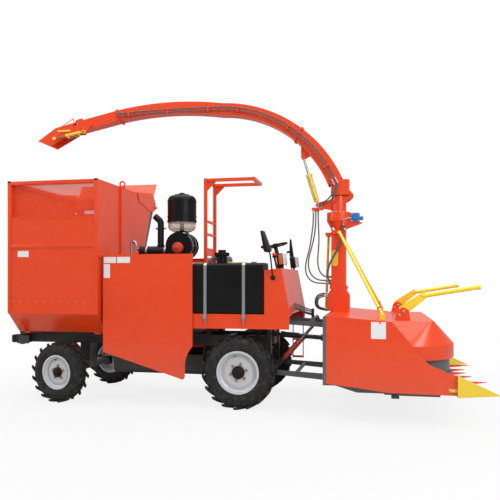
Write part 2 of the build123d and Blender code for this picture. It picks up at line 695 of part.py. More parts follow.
def steering_column():
    axis = Vector(*STEER_HUB) - Vector(*STEER_FOOT)
    column = rod(STEER_FOOT, STEER_HUB, 32)
    wheel_plane = Plane(origin=STEER_HUB, z_dir=axis)
    ring = wheel_plane * Torus(STEER_WHEEL_R, 14)
    hub = wheel_plane * Cylinder(44, 44)
    spokes = [wheel_plane * Rot(0, 0, a) * Pos(STEER_WHEEL_R / 2, 0, 0) * Box(STEER_WHEEL_R, 26,
                                                                              12) for a in (90, 210, 330)]
    foot = rod((STEER_FOOT[0], 0, COWL_BACK_Z + 4), (STEER_FOOT[0] - 18, 0, COWL_BACK_Z + 90), 52)
    base = block((STEER_FOOT[0] - 62, STEER_FOOT[0] + 62), (-300, 70), (2088, 2110))
    levers = []
    for y in (-260, -200, -140):
        levers.append(rod((470, y, 2105), (425, y, 2300), 8))
        levers.append(Pos(424, y, 2310) * Sphere(24))
    wedge = [(COWL_BACK_X + 8, 2082), (610, 2104), (610, 2108), (COWL_BACK_X + 8, 2108)]
    tray = plate_xz(wedge, (-320, 90))
    cut_low = plate_xz([(380, 2000), (COWL_BACK_X, COWL_BACK_Z), COWL_TOP, (COWL_TOP[0], 2000)],
                       (-500, 500))
    save("steering_column", join(column, ring, hub, *spokes, foot, base, *levers, tray) - cut_low)


def canopy_frame():
    half = CANOPY_TUBE / 2
    rear, front = CANOPY_X
    posts = both_sides(block((rear, rear + CANOPY_TUBE), (CANOPY_Y - half, CANOPY_Y + half),
                             (DECK_Z, CANOPY_TOP)))
    roof_z = (CANOPY_TOP - CANOPY_TUBE, CANOPY_TOP)
    sides = both_sides(block((rear, front), (CANOPY_Y - half, CANOPY_Y + half), roof_z))
    cross = [block((x, x + CANOPY_TUBE), (-CANOPY_Y, CANOPY_Y), roof_z) for x in (rear,
                                                                                  front - CANOPY_TUBE)]
    rungs = [block((rear + 10, rear + 40), (-CANOPY_Y, CANOPY_Y), (z - 20, z + 20)) for z in (2280, 2680,
                                                                                              2890)]
    sheet = block((rear + 16, rear + 24), (-CANOPY_Y, CANOPY_Y), (2330, 2460))
    corner = [(rear + CANOPY_TUBE, roof_z[0]), (rear + CANOPY_TUBE + 150, roof_z[0]),
              (rear + CANOPY_TUBE, roof_z[0] - 150)]
    gussets = both_sides(plate_xz(corner, (CANOPY_Y - 5, CANOPY_Y + 5)))
    save("canopy_frame", join(*posts, *sides, *cross, *rungs, sheet, *gussets))


def mirrors_and_lamps():
    solids = []
    # mirror columns: side, head x, head y, head z, turn of the head
    for hand, x, y, z, turn in ((-1, 440, 1060, 2497, 55), (1, 555, 1060, 2499, -20)):
        base = rod((560, hand * SIDE_Y, 1960), (560, hand * (SIDE_Y + 26), 1960), 34)
        path = FilletPolyline((560, hand * (SIDE_Y + 20), 1960), (560, hand * (SIDE_Y + 60), 1985),
                              (x, hand * y, z - 120),
                              (x, hand * y, z), radius=24)
        arm = sweep(Plane(origin=path @ 0, z_dir=path % 0) * Circle(11), path=path)
        head = fillet((Pos(x, hand * y, z) * Rot(0, 0, hand * -turn) * Box(46, 200, 310)).edges(), 20)
        solids.append(join(base, arm, head))
    for hand in (-1, 1):
        stalk = rod((620, hand * 720, COWL_TOP[1] - 2), (640, hand * 720, 2160), 16)
        stalk -= plate_xz([(380, 2000), (COWL_BACK_X, COWL_BACK_Z), COWL_TOP, (COWL_TOP[0], 2000)],
                          (-SIDE_Y, SIDE_Y))
        lamp = fillet((Pos(650, hand * 720, 2230) * Box(110, 150, 190)).edges().filter_by(Axis.X), 24)
        solids.append(join(stalk, lamp))
    save("mirrors_and_lamps", *solids)


# Collecting bin, made in its own short functions
def bin_left_y(z):
    """Y of the slanting left edge of the bin's end walls at a height."""
    return BIN_FLOOR_Y[1] + (BIN_TOP_Y - BIN_FLOOR_Y[1]) * (z - BIN_FLOOR_Z) / (BIN_TOP_Z - BIN_FLOOR_Z)


def bin_end_outline(inset):
    return [(BIN_RIGHT_Y + inset, BIN_KNEE_Z), (BIN_FLOOR_Y[0] + inset, BIN_FLOOR_Z),
            (BIN_FLOOR_Y[1], BIN_FLOOR_Z),
            (bin_left_y(BIN_TOP_Z), BIN_TOP_Z), (BIN_RIGHT_Y + inset, BIN_TOP_Z)]


def bin_walls():
    rear, front = BIN_X
    ends = [plate_yz(bin_end_outline(0), (x, x + BIN_WALL)) for x in (rear, front - BIN_WALL)]
    side = block(BIN_X, (BIN_RIGHT_Y, BIN_RIGHT_Y + BIN_WALL), (BIN_KNEE_Z, BIN_TOP_Z))
    tube = BIN_TUBE
    window = block((rear + tube, front - tube), (BIN_RIGHT_Y - 1, BIN_RIGHT_Y + BIN_WALL + 1),
                   (SCREEN_Z, BIN_TOP_Z - tube))
    floor = block(BIN_X, BIN_FLOOR_Y, (BIN_FLOOR_Z, BIN_FLOOR_Z + BIN_WALL))
    knee = plate_yz([(BIN_RIGHT_Y, BIN_KNEE_Z), (BIN_FLOOR_Y[0], BIN_FLOOR_Z),
                     (BIN_FLOOR_Y[0], BIN_FLOOR_Z + BIN_WALL),
                     (BIN_RIGHT_Y + BIN_WALL, BIN_KNEE_Z)], BIN_X)
    low = (BIN_FLOOR_Y[1], BIN_FLOOR_Z)
    high = (bin_left_y(GATE_LOW_Z - 10), GATE_LOW_Z - 10)
    sill = plate_yz([low, high, (high[0] - 7, high[1]), (low[0] - 7, low[1])], BIN_X)
    return [*ends, side - window, floor, knee, sill]


def bin_frame():
    """Square tubes around the right wall and the ends, cross bearers under the floor, and the hinge arms."""
    rear, front = BIN_X
    tube = BIN_TUBE
    y = (BIN_RIGHT_Y - 4, BIN_RIGHT_Y + tube - 4)
    pieces = [block((x, x + tube), y, (BIN_KNEE_Z - 20, BIN_TOP_Z)) for x in (rear, front - tube)]
    for z in (BIN_KNEE_Z - 20, MID_RAIL_Z - tube / 2, BIN_TOP_Z - tube):
        pieces.append(block(BIN_X, y, (z, z + tube)))
    pieces.append(block(BIN_X, y, (SCREEN_Z - 24, SCREEN_Z)))
    for x in (rear, front - tube):
        pieces.append(block((x, x + tube), (BIN_RIGHT_Y, BIN_TOP_Y - 20), (BIN_TOP_Z - tube, BIN_TOP_Z)))
    pieces.append(block((front, front + 30), (-270, -230), (BIN_FLOOR_Z, BIN_TOP_Z)))
    pieces.append(block((front, front + 36), (BIN_RIGHT_Y + 20, bin_left_y(2300) - 20), (2285, 2320)))
    bearer_z = (BIN_FLOOR_Z - BIN_TUBE / 2, BIN_FLOOR_Z)
    for x in (rear + 140, front - 160):
        pieces.append(block((x - 50, x + 50), (BIN_FLOOR_Y[0], BIN_FLOOR_Y[1]), bearer_z))
    py, pz = TIP_PIN
    for x in TIP_X:
        span = (x - LINK_W / 2, x + LINK_W / 2)
        arm = plate_yz([(BIN_FLOOR_Y[0] + 200, BIN_FLOOR_Z), (BIN_FLOOR_Y[0] + 200, BIN_FLOOR_Z - 26),
                        (py - 30, BIN_FLOOR_Z - 26), (py - 27, pz), (py + 26, pz), (py + 20, pz + 48),
                        (BIN_FLOOR_Y[1], BIN_FLOOR_Z)], span)
        eye = rod((span[0], py, pz), (span[1], py, pz), 28)
        bore = rod((span[0] - 1, py, pz), (span[1] + 1, py, pz), LINK_PIN_R - 2 + PIN_GAP)
        pieces.append(join(arm, eye) - bore)
    ey, ez = TIP_EYE
    for span in around(TIP_CYL_X, SIDE_GAP + 6, EAR_T):
        pieces.append(plate_yz([(ey - 60, BIN_FLOOR_Z), (ey + 60, BIN_FLOOR_Z), (ey + 26, ez - 26),
                                (ey - 26, ez - 26)], span))
    return pieces


def bin_lip():
    """Flared lip over the left wall with its end plates and the bosses of the gate pin."""
    outline = [(470, 3506), (570, 3344), (1100, 3236), (1300, 3243), (1395, 3330), (1382, 3426),
               (1220, 3588)]
    rear, front = BIN_X
    plates = [plate_yz(outline, span) for span in ((front, front + 12), (rear - 12, rear))]
    py, pz = GATE_PIN
    plates += [rod((x, py, pz), (x + 26, py, pz), 34) for x in (front, rear - 26)]
    flare = plate_yz([(1204, 3425), (1212, 3423), (1446, 3792), (1438, 3795)], (rear - 12, front + 12))
    header = plate_yz([(1085, 3320), (1150, 3320), (1212, 3423), (1204, 3497), (1120, 3497)], (rear, front))
    return [*plates, flare, header]


def bin_shell():
    save("bin_shell", join(*bin_walls(), *bin_frame(), *bin_lip()))


def bin_screen():
    """Perforated sheet in the window of the right wall."""
    rear, front = BIN_X
    x = (rear + BIN_TUBE, front - BIN_TUBE)
    z = (SCREEN_Z, BIN_TOP_Z - BIN_TUBE)
    sheet = block(x, (BIN_RIGHT_Y + BIN_TUBE - 4, BIN_RIGHT_Y + BIN_TUBE), (z[0] - 20, z[1] + 20))
    columns = 16
    rows = 6
    hole_w = 0.72 * (x[1] - x[0]) / columns
    hole_h = 0.72 * (z[1] - z[0]) / rows
    holes = []
    for i in range(columns):
        for j in range(rows):
            cx = x[0] + (i + 0.5) * (x[1] - x[0]) / columns
            cz = z[0] + (j + 0.5) * (z[1] - z[0]) / rows
            holes.append(Pos(cx, BIN_RIGHT_Y + BIN_TUBE, cz) * Box(hole_w, 40, hole_h))
    save("bin_screen", sheet - holes)


def bin_gate():
    """Slanting left wall that hangs from the lip, with its ribs and the two arms up to the pin."""
    low_z = GATE_LOW_Z
    high_z = 3215
    lean = math.atan2(BIN_TOP_Y - BIN_FLOOR_Y[1], BIN_TOP_Z - BIN_FLOOR_Z)
    out_y = math.cos(lean)
    out_z = -math.sin(lean)

    def offset_point(z, distance):
        return (bin_left_y(z) + distance * out_y, z + distance * out_z)

    rear, front = BIN_X
    thin = GATE_GAP + 8
    skin = plate_yz([offset_point(low_z, GATE_GAP), offset_point(high_z, GATE_GAP),
                     offset_point(high_z, thin),
                     offset_point(low_z, thin)], BIN_X)
    deep = GATE_GAP + GATE_T
    ribs = []
    for z in (low_z, 1900, 2500, high_z - 60):
        ribs.append(plate_yz([offset_point(z, GATE_GAP + 6), offset_point(z + 60, GATE_GAP + 6),
                              offset_point(z + 60, deep),
                              offset_point(z, deep)], BIN_X))
    py, pz = GATE_PIN
    arms = []
    for span in ((front - 70, front - 30), (rear + 30, rear + 70)):
        arm = plate_yz([offset_point(low_z, GATE_GAP + 6), offset_point(high_z, GATE_GAP + 6),
                        (py - 20, pz + 26),
                        (py + 30, pz - 6), offset_point(2500, 130), offset_point(low_z, 60)], span)
        arms.append(arm)
    shaft = rod((rear + PIN_GAP, py, pz), (front - PIN_GAP, py, pz), 22)
    save("bin_gate", join(skin, *ribs, *arms, shaft))


CYL_EYE_R = 32
CYL_NECK_R = 17


def cylinder_pair(barrel_node, rod_node, bases, eyes, barrel_l, barrel_r, rod_r, start_l, across,
                  draw_in=0):
    """Barrels with base eyes and rods with end eyes; across is the pin way, draw_in a retracting stroke."""
    barrels = []
    rods = []
    pin = Vector(*across) * (LINK_W / 2)
    for base, eye in zip(bases, eyes):
        start = Vector(*base)
        end = Vector(*eye)
        along = (end - start).normalized()
        foot = rod(start - pin, start + pin, CYL_EYE_R)
        neck = rod(start, start + along * (start_l + 10), CYL_NECK_R)
        body = rod(start + along * start_l, start + along * barrel_l, barrel_r)
        gland = rod(start + along * (barrel_l - 40), start + along * barrel_l, barrel_r * 1.12)
        bore = rod(start + along * (start_l + 30), start + along * (barrel_l + 1), rod_r + PIN_GAP)
        hole = rod(start - pin * 1.2, start + pin * 1.2, LINK_PIN_R + PIN_GAP)
        barrels.append(join(foot, neck, body, gland) - [bore, hole])
        stem = rod(start + along * (start_l + 40 + draw_in), end, rod_r)
        head = rod(end - pin, end + pin, CYL_EYE_R - 4)
        rods.append(join(stem, head))
    save(barrel_node, *barrels)
    save(rod_node, *rods)


def tip_cylinder():
    base = (TIP_CYL_X, *TIP_BASE)
    eye = (TIP_CYL_X, *TIP_EYE)
    cylinder_pair("tip_barrel", "tip_rod", [base], [eye], 560, 42, 24, 120, (1, 0, 0))


# Header lift linkage
def link_end(pin):
    return (pin[0] + LINK_LENGTH, pin[1] - LINK_DROP)


def link_bar(pin, y, rear_h, front_h):
    """One flat link with eyes at both ends."""
    front = link_end(pin)
    span = (y - LINK_W / 2, y + LINK_W / 2)
    outline = [(pin[0], pin[1] - rear_h / 2), (front[0], front[1] - front_h / 2),
               (front[0], front[1] + front_h / 2),
               (pin[0], pin[1] + rear_h / 2)]
    bar = join(plate_xz(outline, span), rod_y(*pin, span, rear_h / 2), rod_y(*front, span, front_h / 2))
    wide = (span[0] - 1, span[1] + 1)
    bores = [rod_y(*point, wide, LINK_PIN_R + PIN_GAP) for point in (pin, front)]
    return bar - bores


def link_point(pin, run):
    """Point on a link at a distance ahead of its rear pin."""
    return (pin[0] + run, pin[1] - LINK_DROP * run / LINK_LENGTH)


def lower_links():
    bars = [link_bar(LOWER_PIN, y, 68, 92) for y in (-LOWER_Y, LOWER_Y)]
    x, z = link_point(LOWER_PIN, 0.45 * LINK_LENGTH)
    tie = rod_y(x, z, (-LOWER_Y, LOWER_Y), 30)
    save("lower_links", join(*bars, tie))


def upper_links():
    """Upper links joined by a cross tube, with the ears that the lift rods push on."""
    bars = [link_bar(UPPER_PIN, y, 66, 66) for y in (-UPPER_Y, UPPER_Y)]
    x, z = link_point(UPPER_PIN, LIFT_EYE_RUN)
    tube_x = x - 20
    tube = rod_y(tube_x, z + 78, (-UPPER_Y, UPPER_Y), 26)
    ears = []
    for y in (-LIFT_Y, LIFT_Y):
        for span in around(y, SIDE_GAP, 12):
            ears.append(plate_xz([(tube_x - 20, z + 80), (tube_x + 24, z + 92), (x + 30, z), (x, z - 30),
                                  (x - 30, z)], span))
    risers = []
    for y in (-UPPER_Y, UPPER_Y):
        span = (y - LINK_W / 2, y + LINK_W / 2)
        risers.append(plate_xz([(tube_x - 60, z), (tube_x + 60, z), (tube_x + 26, z + 84),
                                (tube_x - 26, z + 84)], span))
    save("upper_links", join(*bars, tube, *ears, *risers))


def lift_cylinders():
    x, z = link_point(UPPER_PIN, LIFT_EYE_RUN)
    bases = [(LIFT_BASE[0], y, LIFT_BASE[1]) for y in (-LIFT_Y, LIFT_Y)]
    eyes = [(x, y, z) for y in (-LIFT_Y, LIFT_Y)]
    cylinder_pair("lift_barrels", "lift_rods", bases, eyes, 430, 38, 17, 62, (0, 1, 0), draw_in=130)


def drive_shaft():
    front = link_end(SHAFT_PIN)
    start = Vector(SHAFT_PIN[0], 0, SHAFT_PIN[1])
    end = Vector(front[0], 0, front[1])
    along = (end - start).normalized()
    tube = rod(start + along * 60, end - along * 60, 36)
    slip = rod(start + along * 60, start + along * 330, 46)
    yokes = []
    for point, hand in ((start, 1), (end, -1)):
        yokes.append(rod(point + along * (30 * hand), point + along * (90 * hand), 52))
        yokes.append(Pos(*point) * Sphere(JOINT_R))
        yokes.append(rod_y(point.X, point.Z, (-JOINT_R - 8, JOINT_R + 8), 13))
        yokes.append(rod(point, point + along * (60 * hand), 24))
    save("drive_shaft", join(tube, slip, *yokes))


# Header
def deck_z(x):
    """Height of the header's sloping deck."""
    end_x, end_z = HEAD_DECK_END
    return HEAD_BACK_TOP + (end_z - HEAD_BACK_TOP) * (x - HEAD_BACK_X) / (end_x - HEAD_BACK_X)


def header_shell():
    side = [(HEAD_BACK_X, 521), (1771, 479), (2168, 428), (2819, 421), (3058, 422), (3052, 671),
            (2700, 819), (2642, 885),
            HEAD_DECK_END, (HEAD_BACK_X, HEAD_BACK_TOP)]
    panel = plate_xz(side, (HEAD_HALF - HEAD_PANEL_T, HEAD_HALF))
    inner = HEAD_HALF - HEAD_PANEL_T
    end_x, end_z = HEAD_DECK_END
    deck = plate_xz([(HEAD_BACK_X, HEAD_BACK_TOP - SHEET), (end_x, end_z - SHEET), (end_x, end_z),
                     (HEAD_BACK_X, HEAD_BACK_TOP)],
                    (-inner, inner))
    back = block((HEAD_BACK_X, HEAD_BACK_X + SHEET), (-inner, inner), (540, HEAD_BACK_TOP - 4))
    save("header_shell", join(deck, back, *both_sides(panel)))


def header_frame():
    """Rear frame with its link ears, floor plate, drum bearings and skid feet."""
    inner = HEAD_HALF - HEAD_PANEL_T - PIN_GAP
    back = HEAD_BACK_X - PIN_GAP
    posts = [block((back - 46, back), (y - 40, y + 40), (530, 1432)) for y in (HEAD_HALF - 42, LOWER_Y,
                                                                               UPPER_Y)]
    rails_z = ((500, 620), (1342, 1432))
    beams = [block((back - 46, back), (-HEAD_HALF + 2, HEAD_HALF - 2), z) for z in rails_z]
    floor_z = (500, 510)
    floor = block((back - 46, 2800), (-inner, inner), floor_z)
    lip = plate_xz([(2790, 500), (2960, 470), (2960, 480), (2800, 510)], (-inner, inner))
    boss = rod_z(DRUM_X, DRUM_Y, (505, 560), 150)
    stub = rod_z(DRUM_X, DRUM_Y, (505, RING_Z[1] + 60), SPINDLE_R)
    skid = plate_xz([(1900, 500), (2140, 300), (2440, 300), (2700, 500)], (860, 940))
    foot = block((2230, 2340), (850, 950), (250, 302))
    runner = plate_xz([(1420, 500), (1760, 400), (2500, 400), (2760, 500)],
                      (HEAD_HALF - 120, HEAD_HALF - 100))
    lower = header_ears(LOWER_PIN, LOWER_Y, back)
    upper = header_ears(UPPER_PIN, UPPER_Y, back)
    x, z = link_end(SHAFT_PIN)
    gearbox = block((back - 30, back), (-150, 150), (z - 140, z + 160))
    stub_x = rod((x + JOINT_R + PIN_GAP, 0, z), (back - 20, 0, z), 38)
    stay = block((back - 46, back), (-40, 40), (620, z - 130))
    high = block((back - 46, back), (-40, 40), (z + 150, 1342))
    pieces = [*beams, floor, lip, gearbox, stub_x, stay, high,
              *both_sides(*posts, boss, stub, skid, foot, runner, *lower, *upper)]
    save("header_frame", join(*pieces))


def header_ears(pin, y, back):
    x, z = link_end(pin)
    pieces = []
    for span in around(y, SIDE_GAP, EAR_T):
        pieces.append(block((x, back), span, (z - 40, z + 40)))
        pieces.append(rod_y(x, z, span, 40))
    outer = around(y, SIDE_GAP, EAR_T + 8)
    pieces.append(rod_y(x, z, (outer[0][0], outer[1][1]), LINK_PIN_R))
    return pieces


def cover_outline(front_x, half, corner_r, z, rear_x):
    """Rounded front outline of the drum cover at a height."""
    arc = corner_r * math.sqrt(0.5)
    cx = front_x - corner_r
    cy = half - corner_r
    edges = [Line((rear_x, -half, z), (cx, -half, z)),
             ThreePointArc((cx, -half, z), (cx + arc, -cy - arc, z), (front_x, -cy, z)),
             Line((front_x, -cy, z), (front_x, cy, z)),
             ThreePointArc((front_x, cy, z), (cx + arc, cy + arc, z), (cx, half, z)),
             Line((cx, half, z), (rear_x, half, z)),
             Line((rear_x, half, z), (rear_x, -half, z))]
    return make_face(edges)


def cover_form(inset, rear_x):
    """Vertical band and the folded slopes up to the flat top, drawn in by an inset."""
    half = DRUM_Y + COVER_R - inset
    front = DRUM_X + COVER_R - inset
    low = cover_outline(front, half, COVER_R - inset, COVER_Z[0], rear_x)
    band = extrude(low, amount=COVER_Z[1] - COVER_Z[0] - inset / 2, dir=(0, 0, 1))
    base = cover_outline(front, half, COVER_R - inset, COVER_Z[1] - inset / 2, rear_x)
    top = cover_outline(PLATEAU_X - inset, PLATEAU_Y - inset, PLATEAU_R, HEAD_DECK_END[1] - inset, rear_x)
    return join(band, loft([base, top], ruled=True))


def drum_cover():
    rear_x = HEAD_DECK_END[0] + PIN_GAP
    shell = cover_form(0, rear_x) - cover_form(SHEET, rear_x - 1)
    top = HEAD_DECK_END[1]
    brackets = []
    for span in around(PUSH_BAR_Y, 0, 10):
        brackets.append(plate_xz([(2270, top - 4), (2480, top - 4), (2460, 1520), (2380, 1560),
                                  (2310, 1520)], span))
    brackets.append(rod_y(2390, 1500, (PUSH_BAR_Y - 40, PUSH_BAR_Y + 40), 14))
    save("drum_cover", join(shell, *both_sides(*brackets)))


def spike(base_x, tip, base_y, base_z, tip_size):
    """Pointed sheet form from a rectangle at base_x to a small tip."""
    root = Plane(origin=(base_x, sum(base_y) / 2, sum(base_z) / 2), x_dir=(0, 1, 0), z_dir=(1, 0, 0))
    end = Plane(origin=tip, x_dir=(0, 1, 0), z_dir=(1, 0, 0))
    first = root * Rectangle(base_y[1] - base_y[0], base_z[1] - base_z[0])
    last = end * Rectangle(tip_size, tip_size)
    return loft([first, last], ruled=True)


def dividers():
    points = both_sides(spike(DIVIDER_X[0], (DIVIDER_X[1], HEAD_HALF + 30, 448),
                              (HEAD_HALF - 60, HEAD_HALF + 60), (405, 685), 12))
    save("dividers", *points)


def crop_points():
    # tip columns: x, y
    tips = ((3520, -870), (3390, -360), (3360, 0), (3390, 360), (3520, 870))
    points = [spike(2960.3, (x, y, 510), (y - 60, y + 60), (440, 520), 8) for x, y in tips]
    save("crop_points", *points)


def push_bars():
    """Flat root between the bracket plates, then a bent tube that leans the crop forward."""
    y = PUSH_BAR_Y
    root = plate_xz([(2300, 1420), (2350, 1400), (2700, 1690), (2670, 1780), (2330, 1560)],
                    (y - 19, y + 19))
    hole = rod_y(2390, 1500, (y - 30, y + 30), 14 + PIN_GAP)
    tube = rod((2640, y, 1715), (3390, y, 1840), 30)
    save("push_bars", *both_sides(join(root - hole, tube)))


def drum(y):
    """Rotary gathering drum: a cup over a wide toothed ring, hung on its spindle."""
    cup = rod_z(DRUM_X, y, DRUM_Z, DRUM_R)
    hollow = rod_z(DRUM_X, y, (DRUM_Z[0] - 1, DRUM_Z[1] - 10), DRUM_R - 10)
    ring = rod_z(DRUM_X, y, RING_Z, RING_R)
    spacer = rod_z(DRUM_X, y, (RING_Z[1] - 1, DRUM_Z[0] + 10), DRUM_R - 30)
    boss = rod_z(DRUM_X, y, (RING_Z[0], DRUM_Z[1]), 130)
    bore = rod_z(DRUM_X, y, (RING_Z[0] - 1, RING_Z[1] + 61), SPINDLE_R + PIN_GAP)
    notches = []
    for step in range(RING_TEETH):
        turn = Pos(DRUM_X, y, 0) * Rot(0, 0, 360 * step / RING_TEETH) * Pos(-DRUM_X, -y, 0)
        tooth = make_face(Polyline((DRUM_X + RING_R - 70, y, RING_Z[0] - 1),
                                   (DRUM_X + RING_R + 20, y - 80, RING_Z[0] - 1),
                                   (DRUM_X + RING_R + 20, y + 26, RING_Z[0] - 1), close=True))
        notches.append(turn * extrude(tooth, amount=RING_Z[1] - RING_Z[0] + 2, dir=(0, 0, 1)))
    shell = join(cup - hollow, ring - notches, spacer, boss)
    return shell - bore


def drums():
    save("drum_right", drum(-DRUM_Y))
    save("drum_left", mirrored(drum(-DRUM_Y)))


# Mast and spout
def mast():
    half = MAST_W / 2
    foot = 170
    base = plate_xz([(MAST_X - foot, deck_z(MAST_X - foot) + PIN_GAP),
                     (MAST_X + foot, deck_z(MAST_X + foot) + PIN_GAP),
                     (MAST_X + foot, 1700), (MAST_X + half, 1790), (MAST_X - half, 1790), (MAST_X - foot,
                                                                                           1700)], (-foot,
                                                                                                    foot))
    flange = block((MAST_X - half - 24, MAST_X + half + 24), (-half - 24, half + 24), (1790, 1830))
    column = block((MAST_X - half, MAST_X + half), (-half, half), (1800, MAST_TOP))
    cone = Pos(MAST_X, 0, (MAST_TOP + RING_TOP) / 2) * Cone(half, 190, RING_TOP - MAST_TOP)
    clear = half - MAST_WALL
    bore = block((MAST_X - clear, MAST_X + clear), (-clear, clear), (1500, RING_TOP + 1))
    arm = plate_xz([(MAST_X + 100, 2740), (MAST_X + 330, 2820), (MAST_X + 330, RING_TOP - 14),
                    (MAST_X + 60, RING_TOP - 14)], (-60, 60))
    ears = both_sides(block((MAST_X - 90, MAST_X + 50), (half - 4, half + 40), (2660, 2700)))
    back_ear = block((MAST_X - half - 96, MAST_X - half + 4), (-60, 160), (2638, 2690))
    pieces = [base, flange, column, cone, arm, *ears, back_ear, *hose_ports()]
    save("mast", join(*pieces) - bore)


def swing_motor():
    """Hydraulic motor and worm box on the mast's bracket."""
    z = RING_TOP - 14
    x = MAST_X + 262
    box = fillet(block((x - 66, x + 66), (-75, 75), (z, z + 140)).edges().filter_by(Axis.Z), 22)
    worm = rod((x + 60, 0, z + 62), (x + 120, 0, z + 62), 34)
    lid = rod_y(x, z + 80, (-92, -70), 46)
    save("swing_motor", join(box, worm, lid))


def mast_stays():
    """Two front stays to the cover and one strut behind the mast."""
    half = MAST_W / 2
    top = (MAST_X + 20, half + 60, 2680)
    foot_x = 2105
    foot = (foot_x, STAY_FOOT_Y, deck_z(foot_x) + 70)
    stay = rod(top, foot, 24)
    eye = rod((top[0], half + 40, top[2]), (top[0], half + 84, top[2]), 30)
    bracket = block((foot_x - 36, foot_x + 36), (STAY_FOOT_Y - 28, STAY_FOOT_Y + 28),
                    (deck_z(foot_x - 36) + PIN_GAP, deck_z(foot_x) + 82))
    side = join(stay, eye, bracket)
    strut = rod((MAST_X - half - 60, 130, 2637), (1222, 130, 1444), 20)
    shoe = block((1200, 1344), (100, 160), (1432 + PIN_GAP, 1446))
    save("mast_stays", *both_sides(side), join(strut, shoe))


def spout_head():
    ring = rod_z(MAST_X, 0, (RING_TOP + SIDE_GAP, 3004), 190)
    body = rod_z(MAST_X, 0, (2990, HEAD_TOP), HEAD_R)
    bore = rod_z(MAST_X, 0, (RING_TOP, HEAD_TOP + 1), HEAD_R - MAST_WALL)
    x, z = BOOM_PIN
    front = []
    lug_half = 80
    for y in ((-lug_half - 20, -lug_half - SIDE_GAP), (lug_half + SIDE_GAP, lug_half + 20)):
        front.append(plate_xz([(MAST_X + 20, 3120), (x - 30, 3200), (x + 30, z - 20), (x + 30, z + 16),
                               (x + 12, z + 32),
                               (x - 24, z + 32), (x - 24, HEAD_TOP - 4), (MAST_X + 20, HEAD_TOP - 4)], y))
    front.append(rod_y(x, z, (-lug_half - 26, lug_half + 26), 16))
    x, z = BOOM_BASE
    rear = []
    for y in around(0, SIDE_GAP, EAR_T):
        rear.append(plate_xz([(MAST_X - 60, 3225), (MAST_X - 60, 3045), (x, z - 42), (x - 40, z),
                              (x, z + 42)], y))
    outer = around(0, SIDE_GAP, EAR_T + 8)
    rear.append(rod_y(x, z, (outer[0][0], outer[1][1]), LINK_PIN_R))
    save("spout_head", join(ring, body, *front, *rear, *hose_manifold()) - bore)


def boom_edge(inset):
    """Side outline of the duct, drawn in by an inset at top and bottom."""
    tops = []
    lows = []
    for x, z, way, depth in BOOM_STATIONS:
        down_x = -math.sin(math.radians(way))
        down_z = math.cos(math.radians(way))
        tops.append((x + inset * down_x, 0, z + inset * down_z))
        lows.append((x + (depth - inset) * down_x, 0, z + (depth - inset) * down_z))
    edges = [ThreePointArc(*tops[0:3]), ThreePointArc(*tops[2:5]), Line(*tops[4:6]), Line(tops[5], lows[5]),
             Line(lows[5], lows[4]), ThreePointArc(*lows[4:1:-1]), ThreePointArc(*lows[2::-1]),
             Line(lows[0], tops[0])]
    return make_face(edges)


def duct(inset):
    half = DUCT_HALF - inset
    return Pos(0, -half, 0) * extrude(boom_edge(inset), amount=2 * half, dir=(0, 1, 0))


HOOD_X = (1318, 1600)
HOOD_HALF = 140
HOOD_TOP = 3520


def boom():
    """Curved spout duct with its base hood, hinge lug, flanged joints, cylinder ear and flap ears."""
    hood = block(HOOD_X, (-HOOD_HALF, HOOD_HALF), (HEAD_TOP + 6, HOOD_TOP))
    wall = DUCT_WALL
    room = block((HOOD_X[0] + wall, HOOD_X[1] - wall), (-HOOD_HALF + wall, HOOD_HALF - wall),
                 (HEAD_TOP, HOOD_TOP - wall))
    x, z = BOOM_PIN
    lug = join(rod_y(x, z, (-80, 80), 27), block((HOOD_X[1] - 4, x), (-80, 80), (z, z + 60)))
    lug -= rod_y(x, z, (-90, 90), 16 + PIN_GAP)
    x, z = BOOM_EYE
    ears = []
    for y in around(0, SIDE_GAP + 2, EAR_T):
        ears.append(plate_xz([(x - 36, z - 10), (x, z - 36), (x + 34, z - 8), (x + 190, z + 70),
                              (x - 40, z + 260)], y))
    collars = [duct_collar(station) for station in ((857, 4359), (-2310, 4820))]
    x, z = FLAP_PIN
    top_ears = []
    for y in (-80, 80):
        top_ears.append(plate_xz([(-2940, 4680), (x + 20, z - 20), (x - 18, z), (x, z + 24),
                                  (-2960, 4730)], (y - 8, y + 8)))
    top_ears.append(rod_y(x, z, (-96, 96), 12))
    x, z = FLAP_BASE
    flap_ear = plate_xz([(x - 40, z + 90), (x + 130, z + 120), (x + 34, z - 10), (x, z - 34), (x - 34, z)],
                        (-DUCT_HALF - 22, -DUCT_HALF + 2))
    flap_pin = rod_y(x, z, (FLAP_CYL_Y - 30, -DUCT_HALF - 10), LINK_PIN_R)
    outer = join(duct(0), hood, *ears, *collars, *top_ears, flap_ear, *pipe_clips())
    save("boom", join(outer - [duct(DUCT_WALL), room], lug, flap_pin))


def duct_collar(top):
    """Flange pair around the duct at a station of its top edge."""
    x, z = top
    way, depth = [(w, d) for sx, sz, w, d in BOOM_STATIONS if sx == x][0]
    middle_x = x - math.sin(math.radians(way)) * depth / 2
    middle_z = z + math.cos(math.radians(way)) * depth / 2
    along = (math.cos(math.radians(way)), 0, math.sin(math.radians(way)))
    place = Plane(origin=(middle_x, 0, middle_z), x_dir=(0, 1, 0), z_dir=along)
    outline = place * Rectangle(2 * DUCT_HALF + 40, depth + 40)
    return extrude(outline, amount=12, both=True)


def boom_cylinder():
    cylinder_pair("boom_barrel", "boom_rod", [(BOOM_BASE[0], 0, BOOM_BASE[1])],
                  [(BOOM_EYE[0], 0, BOOM_EYE[1])],
                  520, 46, 19, 66, (0, 1, 0))


